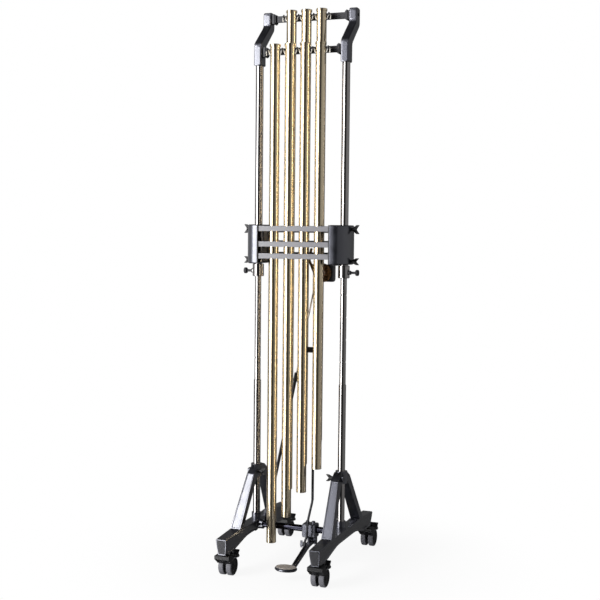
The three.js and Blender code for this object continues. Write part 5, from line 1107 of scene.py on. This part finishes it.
class BELLS_OT_rails(PieceOperator):
    """Dresses the two rails with their pegs and sets a collar at the foot of each peg"""

    bl_idname = "bells.rails"
    bl_label = "Rails and pegs"

    # Millimetres
    collar_radius = 4.8
    collar_length = 3

    def execute(self, context):
        for row, bells in ROWS.items():
            rail = f"{row}_rail"
            dress_node(rail, "steel", 0.8)
            self.make_collars(rail, f"{row}_row_cord", len(bells) + 1)
        return {"FINISHED"}

    def make_collars(self, rail, cord, count):
        cord_low, cord_high = corners(cord)
        over = (PEG_RADIUS + CORD_RADIUS + CORD_LIFT + CORD_RADIUS) * MM
        start_x = cord_low.x + over
        peg_z = cord_high.z - over
        rail_face = corners(rail)[1].y - (RAIL_FLANGE_DEPTH + RAIL_DEPTH) / 2 * MM
        radius = self.collar_radius
        length = self.collar_length
        outline = [
            (PEG_RADIUS, 0), (radius, 0), (radius, length - 1), (radius - 0.8, length),
            (PEG_RADIUS + 0.05, length)]
        collar = spare_part("peg_collar", turned(bmesh.new(), outline, Vector(), -AXIS_Y, SMALL_SIDES))
        copied(
            f"{rail}_peg_collars", "row", "steel", rail, collar, Count=count,
            Start=(start_x, rail_face, peg_z), Step=(-2 * start_x / (count - 1), 0, 0))


class BELLS_OT_brackets(PieceOperator):
    """Dresses the two bent top brackets and adds their socket screws"""

    bl_idname = "bells.brackets"
    bl_label = "Top brackets"

    front_panel = CastPanel((0, -1, 0), least_area=400, margin=0, wall=3.2, depth=-0.9)

    def execute(self, context):
        for side, sign in SIDES:
            node = f"{side}_top_bracket"
            dress_node(node, "enamel", 2.2, 3, [self.front_panel])
            self.make_screw(node, sign)
        return {"FINISHED"}

    def make_screw(self, node, sign):
        """The screw that holds the end of the rear rail."""
        low, high = corners(node)
        outside = low.x if sign < 0 else high.x
        rail_y = corners("rear_rail")[1].y - RAIL_FLANGE_DEPTH / 2 * MM
        screw = screw_part("rail_screw", radius=5.5, height=3.2, socket=2.6)
        screw.data.transform(Matrix.Rotation(math.radians(90 * sign), 4, "Y"))
        copied(
            f"{node}_screws", "row", "steel", node, screw, Count=1,
            Start=(outside - sign * SCREW_SEAT * MM, rail_y, middle("rear_rail").z), Step=(0, 0, 0))


class BELLS_OT_posts(PieceOperator):
    """Turns the chromed telescoping posts and dresses their collars"""

    bl_idname = "bells.posts"
    bl_label = "Posts"

    def execute(self, context):
        for side, _ in SIDES:
            self.make_upper(f"{side}_upper_post")
            self.make_notched(f"{side}_notched_post")
            dress_node(f"{side}_post_collar", "chrome", 0.7)
        return {"FINISHED"}

    def make_upper(self, node):
        radius, length = upright_size(node)
        bore = radius - UPPER_POST_WALL
        bore_end = length - UPPER_BORE_END
        shoulder = length - SPIGOT_LENGTH + 2 * FIT_GAP
        outline = [
            (bore, 0.6), (bore + 0.6, 0), (radius - 1, 0), (radius - 0.3, 0.3), (radius, 1),
            (radius, length * 0.3), (radius, length * 0.6), (radius, shoulder - 1),
            (radius - 0.3, shoulder - 0.3), (radius - 1, shoulder), (SPIGOT_RADIUS, shoulder),
            (SPIGOT_RADIUS, length - 1), (SPIGOT_RADIUS - 1, length), (0, length), (0, bore_end),
            (bore, bore_end)]
        declare(turned_upright(f"{node}_tube", node, outline, POST_SIDES), "chrome", node)

    def make_notched(self, node):
        foot, length = upright_size(node)
        radius = foot - POST_STEP
        start = corners(node)[0].z / MM
        step = LOWER_POST_TOP - start
        outline = [
            (0, 0), (foot - 1, 0), (foot, 1), (foot, step * 0.5), (foot, step - 2.4),
            (foot - 0.4, step - 1.2), (radius + 0.6, step), (radius, step)]
        for k in range(-NOTCHES_BELOW, NOTCHES_ABOVE + 1):
            outline += self.notch(radius, INDEX_HEIGHT + k * NOTCH_PITCH - start)
        outline += [(radius, length - 2), (radius - 0.6, length - 0.6), (radius - 2, length), (0, length)]
        declare(turned_upright(f"{node}_rod", node, outline, POST_SIDES), "chrome", node)

    def notch(self, radius, height):
        """Outline of the groove round the post at a height, with eased edges."""
        low = height - NOTCH_HEIGHT / 2
        high = height + NOTCH_HEIGHT / 2
        floor = radius - NOTCH_DEPTH
        return [
            (radius, low - 0.4), (radius - 0.2, low), (floor, low + 0.9), (floor, high - 0.9),
            (radius - 0.2, high), (radius, high + 0.4)]


class BELLS_OT_plungers(PieceOperator):
    """Turns the spring index plungers with their knurled heads"""

    bl_idname = "bells.plungers"
    bl_label = "Index plungers"

    # Millimetres: pin and its tip, nut, stem, head, and the ridges of the head's knurl
    tip_radius = 2.6
    pin_radius = 4
    nut_radius = 8
    nut_length = 5
    stem_radius = 4.6
    stem_length = 19
    head_length = 12
    knurl_setback = 6.2
    ridge_height = 0.8
    ridge_half_width = 0.55
    ridge_half_length = 4.2
    ridges = 30

    def execute(self, context):
        for side, sign in SIDES:
            self.make_plunger(f"{side}_index_plunger", sign)
        return {"FINISHED"}

    def make_plunger(self, node, sign):
        low, high = corners(node)
        centre = middle(node)
        head = (high.z - low.z) / 2 / MM
        grip = head - self.ridge_height
        length = (high.x - low.x) / MM
        inner = low.x if sign > 0 else high.x
        base = Vector((inner, centre.y, centre.z))
        shape = turned(bmesh.new(), self.outline(length, grip), base, AXIS_X * sign, FITTING_SIDES)
        declare(rounded(f"{node}_pin", outwards(shape), 0), "steel", node)
        knurl_x = inner + sign * (length - self.knurl_setback) * MM
        copied(
            f"{node}_knurl", "ring", "steel", node, self.make_ridge(grip, head), Count=self.ridges,
            Centre=(knurl_x, centre.y, centre.z), Rotation=(0, math.radians(90), 0))

    def outline(self, length, grip):
        """Outline of a plunger from the tip of its pin to the end of its head."""
        head_start = length - self.head_length
        stem_start = head_start - self.stem_length
        nut_start = stem_start - self.nut_length
        return [
            (0, 0), (self.tip_radius, 0), (self.pin_radius, 1.4), (self.pin_radius, nut_start),
            (self.nut_radius, nut_start), (self.nut_radius, stem_start - 0.6),
            (self.nut_radius - 0.6, stem_start), (5, stem_start), (self.stem_radius, stem_start + 4),
            (self.stem_radius, head_start - 4), (5.4, head_start - 1), (6.5, head_start),
            (grip - 1, head_start), (grip, head_start + 1), (grip, length - 2.6),
            (grip - 1.4, length - 0.9), (grip - 3, length - 0.5), (4.4, length - 0.5), (4, length),
            (0, length)]

    def make_ridge(self, grip, head):
        """One ridge of the knurl, along Z and standing off the grip."""
        low = Vector((grip - 0.4, -self.ridge_half_width, -self.ridge_half_length)) * MM
        high = Vector((head - 0.02, self.ridge_half_width, self.ridge_half_length)) * MM
        ridge = slab(bmesh.new(), low, high)
        bmesh.ops.bevel(ridge, geom=ridge.edges[:], offset=0.3 * MM, segments=1, affect="EDGES")
        return spare_part("knurl_ridge", ridge)


class BELLS_OT_stands(PieceOperator):
    """Dresses the cast leg frames, the foot beams and the crossbar"""

    bl_idname = "bells.stands"
    bl_label = "Stands"

    # Reach outwards and upwards of the faces of a leg's slopes and of a foot beam's ends
    leg_slope = (0.85, 0.53)
    beam_end = (0.99, -0.13)
    least_end_area = 1000
    # Size of an end cap as a share of its end, and its lift and thickness in millimetres
    cap_share = 0.88
    cap_lift = 0.4
    cap_thickness = 1.5

    def execute(self, context):
        along, rise = self.leg_slope
        slopes = [
            CastPanel((0, way * along, rise), least_area=4000, margin=4, wall=1.5, depth=0.9)
            for way in (-1, 1)]
        for side, sign in SIDES:
            sides = [
                CastPanel((way, 0, 0), least_area=4000, margin=5, wall=2.5, depth=1.8)
                for way in (sign, -sign)]
            dress_node(f"{side}_leg_frame", "enamel", 2.2, 3, sides + slopes)
            dress_node(f"{side}_foot_beam", "enamel", 2.2, 3, sides)
            self.make_end_caps(f"{side}_foot_beam")
        dress_node("base_crossbar", "smoked", 0.6)
        return {"FINISHED"}

    def make_end_caps(self, node):
        """Thin lacquered plates on the two ends of a foot beam."""
        beam = frame_shape(node)
        caps = bmesh.new()
        along, rise = self.beam_end
        for way in (-1, 1):
            for end in faces_towards(beam, (0, way * along, rise), self.least_end_area):
                self.add_cap(caps, end)
        beam.free()
        declare(rounded(f"{node}_end_caps", outwards(caps), 0.3), "steel", node, replaced=False)

    def add_cap(self, caps, end):
        """A plate that covers most of an end face and stands a little proud of it."""
        centre = end.calc_center_median()
        lift = end.normal * self.cap_lift * MM
        outer = [centre + (v.co - centre) * self.cap_share + lift for v in end.verts]
        inner = [co - end.normal * self.cap_thickness * MM for co in outer]
        front, back = ([caps.verts.new(co) for co in ring] for ring in (outer, inner))
        caps.faces.new(front)
        caps.faces.new(reversed(back))
        for k in range(len(front)):
            caps.faces.new((front[k - 1], back[k - 1], back[k], front[k]))


class BELLS_OT_knobs(PieceOperator):
    """Dresses the six clamp knobs with their wings and screws"""

    bl_idname = "bells.knobs"
    bl_label = "Clamp knobs"

    def execute(self, context):
        for side, _ in SIDES:
            for level in ("upper", "lower", "leg"):
                dress_node(f"{side}_{level}_knob", "nylon", 1.6, 3)
        return {"FINISHED"}


class BELLS_OT_housings(PieceOperator):
    """Dresses the two damper housings and fits their cheeks, lips and guides"""

    bl_idname = "bells.housings"
    bl_label = "Damper housings"

    # The cheek in front of the post and the lip over the ends of the bars: finish, then rounding, both X,
    # both distances ahead of the housing's middle and margin at top and bottom, in millimetres
    plates = {
        "cheek": ("steel", 0.8, (150, 196), (38, 35), 4),
        "lip": ("nylon", 1.0, (141, 146.5), (86.2, 83), 0.6),
    }
    # Place of the lower guide, pitch of the two, and corners of a guide's block and of its upright tab
    guide_x = 141
    guide_ahead = 64
    guide_rise = 40
    guide_pitch = 52
    guide_solids = (((-5, 0, -7), (5, 16, 7)), ((-1.5, 4, 6), (1.5, 12, 26)))

    def execute(self, context):
        for side, sign in SIDES:
            node = f"{side}_damper_housing"
            dress_node(node, "enamel", 0.9, 2)
            for name, plate in self.plates.items():
                self.make_plate(f"{node}_{name}", node, sign, *plate)
            self.make_guides(node, sign)
        return {"FINISHED"}

    def make_plate(self, name, node, sign, finish, edge, across, ahead, margin):
        """An upright plate inside the height of a housing."""
        low, high = corners(node)
        left, right = sorted(sign * x * MM for x in across)
        front, back = (middle(node).y - distance * MM for distance in ahead)
        plate = slab(
            bmesh.new(), Vector((left, front, low.z + margin * MM)),
            Vector((right, back, high.z - margin * MM)))
        declare(rounded(name, plate, edge), finish, node, replaced=False)

    def make_guides(self, node, sign):
        """The two pale guides behind the ends of the bars."""
        guide = bmesh.new()
        for low, high in self.guide_solids:
            slab(guide, Vector(low) * MM, Vector(high) * MM)
        y = middle(node).y - self.guide_ahead * MM
        z = corners(node)[0].z + self.guide_rise * MM
        copied(
            f"{node}_guides", "row", "zinc", node, spare_part("guide", guide), Count=2,
            Start=(sign * self.guide_x * MM, y, z), Step=(0, 0, self.guide_pitch * MM))


class BELLS_OT_damper_bars(PieceOperator):
    """Makes the fixed bars, the moving bars with their guide blocks and the felt strips"""

    bl_idname = "bells.damper_bars"
    bl_label = "Damper bars"

    # Millimetres
    corner_radius = 3
    screw_inset = 7
    felt_end_gap = 6
    felt_margin = 1.5
    block_width = 12
    block_gap = 0.02

    def execute(self, context):
        for row, facing, finish in (("front", 1, "bar"), ("rear", -1, "steel")):
            for level in ("top", "bottom"):
                node = f"{row}_{level}_bar"
                low, high = corners(node)
                self.make_flat(node, low, high, finish)
                self.make_screws(node, facing)
            self.make_moving(row, facing, finish)
        return {"FINISHED"}

    def make_flat(self, node, low, high, finish):
        """A flat bar between two corners, its ends rounded in the plane of the bar."""
        shape = slab(bmesh.new(), low, high)
        through = [e for e in shape.edges if abs(e.verts[0].co.y - e.verts[1].co.y) > MM]
        bmesh.ops.bevel(
            shape, geom=through, offset=self.corner_radius * MM, segments=5, affect="EDGES", profile=0.5)
        declare(rounded(f"{node}_flat", shape, 0.5), finish, node)

    def make_screws(self, node, facing):
        low, high = corners(node)
        screw = screw_part("bar_screw", radius=4.4, height=2.2, socket=2.1)
        screw.data.transform(Matrix.Rotation(math.radians(90 * facing), 4, "X"))
        face = (low.y if facing > 0 else high.y) + facing * SCREW_SEAT * MM
        x = high.x - self.screw_inset * MM
        copied(
            f"{node}_screws", "row", "steel", node, screw, Count=2,
            Start=(-x, face, (low.z + high.z) / 2), Step=(2 * x, 0, 0))

    def make_moving(self, row, facing, finish):
        node = f"{row}_damper_bar"
        low, high = corners(node)
        fixed_low, fixed_high = corners(f"{row}_top_bar")
        half = (fixed_high.z - fixed_low.z) / 2
        z = (low.z + high.z) / 2
        face = low.y if facing > 0 else high.y
        back = face + facing * BAR_THICKNESS * MM
        ys = sorted((face, back))
        self.make_flat(node, Vector((low.x, ys[0], z - half)), Vector((high.x, ys[1], z + half)), finish)
        self.make_felt(node, facing, back, z, half - self.felt_margin * MM)
        self.make_blocks(node, facing, back)

    def make_felt(self, node, facing, back, z, half):
        """The strip behind a moving bar, thin in front and as deep as the solid at the rear."""
        low, high = corners(node)
        depth = FELT_THICKNESS * MM if facing > 0 else high.y - low.y - BAR_THICKNESS * MM
        left = corners("left_damper_housing")[1].x + self.felt_end_gap * MM
        ys = sorted((back, back + facing * depth))
        shape = slab(bmesh.new(), Vector((left, ys[0], z - half)), Vector((-left, ys[1], z + half)))
        declare(rounded(f"{node}_felt", shape, 1.1, 3), "felt", node)

    def make_blocks(self, node, facing, back):
        low, high = corners(node)
        far = high.y if facing > 0 else low.y
        ys = sorted((back + facing * self.block_gap * MM, far))
        half = self.block_width / 2 * MM
        block = slab(bmesh.new(), Vector((-half, ys[0], low.z)), Vector((half, ys[1], high.z)))
        bmesh.ops.bevel(block, geom=block.edges[:], offset=0.8 * MM, segments=2, affect="EDGES")
        x = high.x - half
        copied(
            f"{node}_blocks", "row", "zinc", node, spare_part("guide_block", block), Count=2,
            Start=(-x, 0, 0), Step=(2 * x, 0, 0))


class BELLS_OT_linkage(PieceOperator):
    """Dresses the crank, its plate and the telescoping pull rods"""

    bl_idname = "bells.linkage"
    bl_label = "Damper linkage"

    # Millimetres
    washer_bore = 5.4
    washer_radius = 12
    washer_thickness = 1.4
    washer_seat = 0.2

    def execute(self, context):
        dress_node("crank_plate", "steel", 0.8)
        dress_node("damper_crank", "passivation", 0.7)
        dress_node("upper_pull_rod", "steel", 0.3)
        dress_node("lower_pull_rod", "steel", 0.6)
        self.make_axle_washer()
        return {"FINISHED"}

    def make_axle_washer(self):
        node = "damper_crank"
        joint = next(j for j in frame["joints"] if j["name"] == "crank_turn")
        centre = Vector(joint["pos_m"])
        centre.y = corners(node)[1].y - CRANK_FACE * MM
        bore = self.washer_bore
        radius = self.washer_radius
        top = self.washer_thickness
        seat = -self.washer_seat
        outline = [
            (bore, seat), (radius, seat), (radius, top - 0.5), (radius - 0.6, top), (bore + 0.5, top),
            (bore, top - 0.5)]
        shape = outwards(turned(bmesh.new(), outline, centre, -AXIS_Y, FITTING_SIDES))
        declare(rounded("crank_washer", shape, 0), "zinc", node, replaced=False)


class BELLS_OT_stay(PieceOperator):
    """Dresses the telescoping stay"""

    bl_idname = "bells.stay"
    bl_label = "Stay"

    def execute(self, context):
        dress_node("stay_tube", "steel", 0.6)
        dress_node("stay_rod", "zinc", 0.3)
        return {"FINISHED"}


class BELLS_OT_pedal(PieceOperator):
    """Dresses the pedal and its clamp, and gives the pad its tread"""

    bl_idname = "bells.pedal"
    bl_label = "Pedal"

    # Millimetres: half the oval across and along, its thickness, its middle from the toe, and its underside
    tread_half_x = 39
    tread_half_y = 28
    tread_thickness = 1.8
    tread_from_toe = 32
    tread_height = 47.6

    def execute(self, context):
        dress_node("pedal_clamp", "enamel", 1.4, 3)
        dress_node("pedal", "enamel", 0.9, 2)
        self.make_tread()
        return {"FINISHED"}

    def make_tread(self):
        """The pale oval on top of the pad, its paler colour a painted highlight."""
        low, high = corners("pedal")
        radius = self.tread_half_x
        top = self.tread_thickness
        outline = [(0, 0), (radius, 0), (radius, top - 0.8), (radius - 0.8, top), (0, top)]
        oval = turned(bmesh.new(), outline, Vector(), AXIS_Z, POST_SIDES)
        place = Vector(((low.x + high.x) / 2, low.y + self.tread_from_toe * MM, self.tread_height * MM))
        squeeze = Matrix.Diagonal((1, self.tread_half_y / radius, 1, 1))
        oval.transform(Matrix.Translation(place) @ squeeze)
        declare(rounded("pedal_tread", outwards(oval), 0), "pad", "pedal", replaced=False)


class BELLS_OT_casters(PieceOperator):
    """Turns the twin wheels and dresses the hoods and brake levers"""

    bl_idname = "bells.casters"
    bl_label = "Casters"

    def execute(self, context):
        for caster in CASTERS:
            dress_node(f"{caster}_caster_hood", "nylon", 1.2, 2)
            dress_node(f"{caster}_brake_lever", "nylon", 1.0, 2)
            self.make_wheels(f"{caster}_caster_wheels")
        return {"FINISHED"}

    def make_wheels(self, node):
        low, high = corners(node)
        centre = middle(node)
        radius = (high.y - low.y) / 2 / MM
        treads = bmesh.new()
        hubs = bmesh.new()
        for sign in (-1, 1):
            base = Vector((centre.x + sign * WEB_HALF_WIDTH * MM, centre.y, centre.z))
            turned(treads, self.tread_outline(radius, WHEEL_WIDTH), base, AXIS_X * sign, POST_SIDES)
            turned(hubs, self.hub_outline(radius, WHEEL_WIDTH), base, AXIS_X * sign, POST_SIDES)
        declare(rounded(f"{node}_treads", outwards(treads), 0), "tread", node)
        declare(rounded(f"{node}_hubs", outwards(hubs), 0), "nylon", node)

    def tread_outline(self, radius, width):
        """Outline of a crowned tread, from the web outwards."""
        return [
            (radius - 5, 1), (radius - 1.6, 1), (radius - 0.4, 2.2), (radius, 4.5), (radius, width / 2),
            (radius, width - 4.5), (radius - 0.5, width - 2), (radius - 2, width - 0.6),
            (radius - 5, width - 0.6)]

    def hub_outline(self, radius, width):
        """Outline of a dished hub with its axle cap, from the web outwards."""
        return [
            (0, 0.4), (radius - 7, 0.4), (radius - 5.1, 1), (radius - 5.1, width - 0.7),
            (radius - 6.5, width - 0.5), (radius - 8, width - 1.4), (radius - 10, width - 4),
            (11, width - 3.4), (9.5, width - 0.8), (8, width - 0.2), (5, width - 0.2), (4, width - 1.2),
            (0, width - 1.2)]


class BELLS_PT_panel(bpy.types.Panel):
    """Lists the steps that build the tubular bells."""

    bl_idname = "BELLS_PT_panel"
    bl_label = "Tubular Bells"
    bl_space_type = "VIEW_3D"
    bl_region_type = "UI"
    bl_category = "Tubular Bells"

    def draw(self, context):
        layout = self.layout
        scene = context.scene
        for settings in (scene.bell_sizes, scene.finish_colours, scene.studio_settings):
            box = layout.box()
            for name in settings.__annotations__:
                box.prop(settings, name)
        for operator in OPERATORS:
            layout.operator(operator.bl_idname)


GROUPS = (BellSizes, FinishColours, StudioSettings)
OPERATORS = (
    BELLS_OT_stage, BELLS_OT_bells, BELLS_OT_cords, BELLS_OT_rails, BELLS_OT_brackets, BELLS_OT_posts,
    BELLS_OT_plungers, BELLS_OT_stands, BELLS_OT_knobs, BELLS_OT_housings, BELLS_OT_damper_bars,
    BELLS_OT_linkage, BELLS_OT_stay, BELLS_OT_pedal, BELLS_OT_casters)


def register():
    for item in (*GROUPS, *OPERATORS, BELLS_PT_panel):
        bpy.utils.register_class(item)
    bpy.types.Scene.bell_sizes = PointerProperty(type=BellSizes)
    bpy.types.Scene.finish_colours = PointerProperty(type=FinishColours)
    bpy.types.Scene.studio_settings = PointerProperty(type=StudioSettings)


def unregister():
    del bpy.types.Scene.studio_settings
    del bpy.types.Scene.finish_colours
    del bpy.types.Scene.bell_sizes
    for item in reversed((*GROUPS, *OPERATORS, BELLS_PT_panel)):
        bpy.utils.unregister_class(item)


def main():
    bpy.context.scene.view_settings.view_transform = "Standard"
    register()
    for operator in OPERATORS:
        group, name = operator.bl_idname.split(".")
        getattr(getattr(bpy.ops, group), name)()


if __name__ == "__main__":
    main()
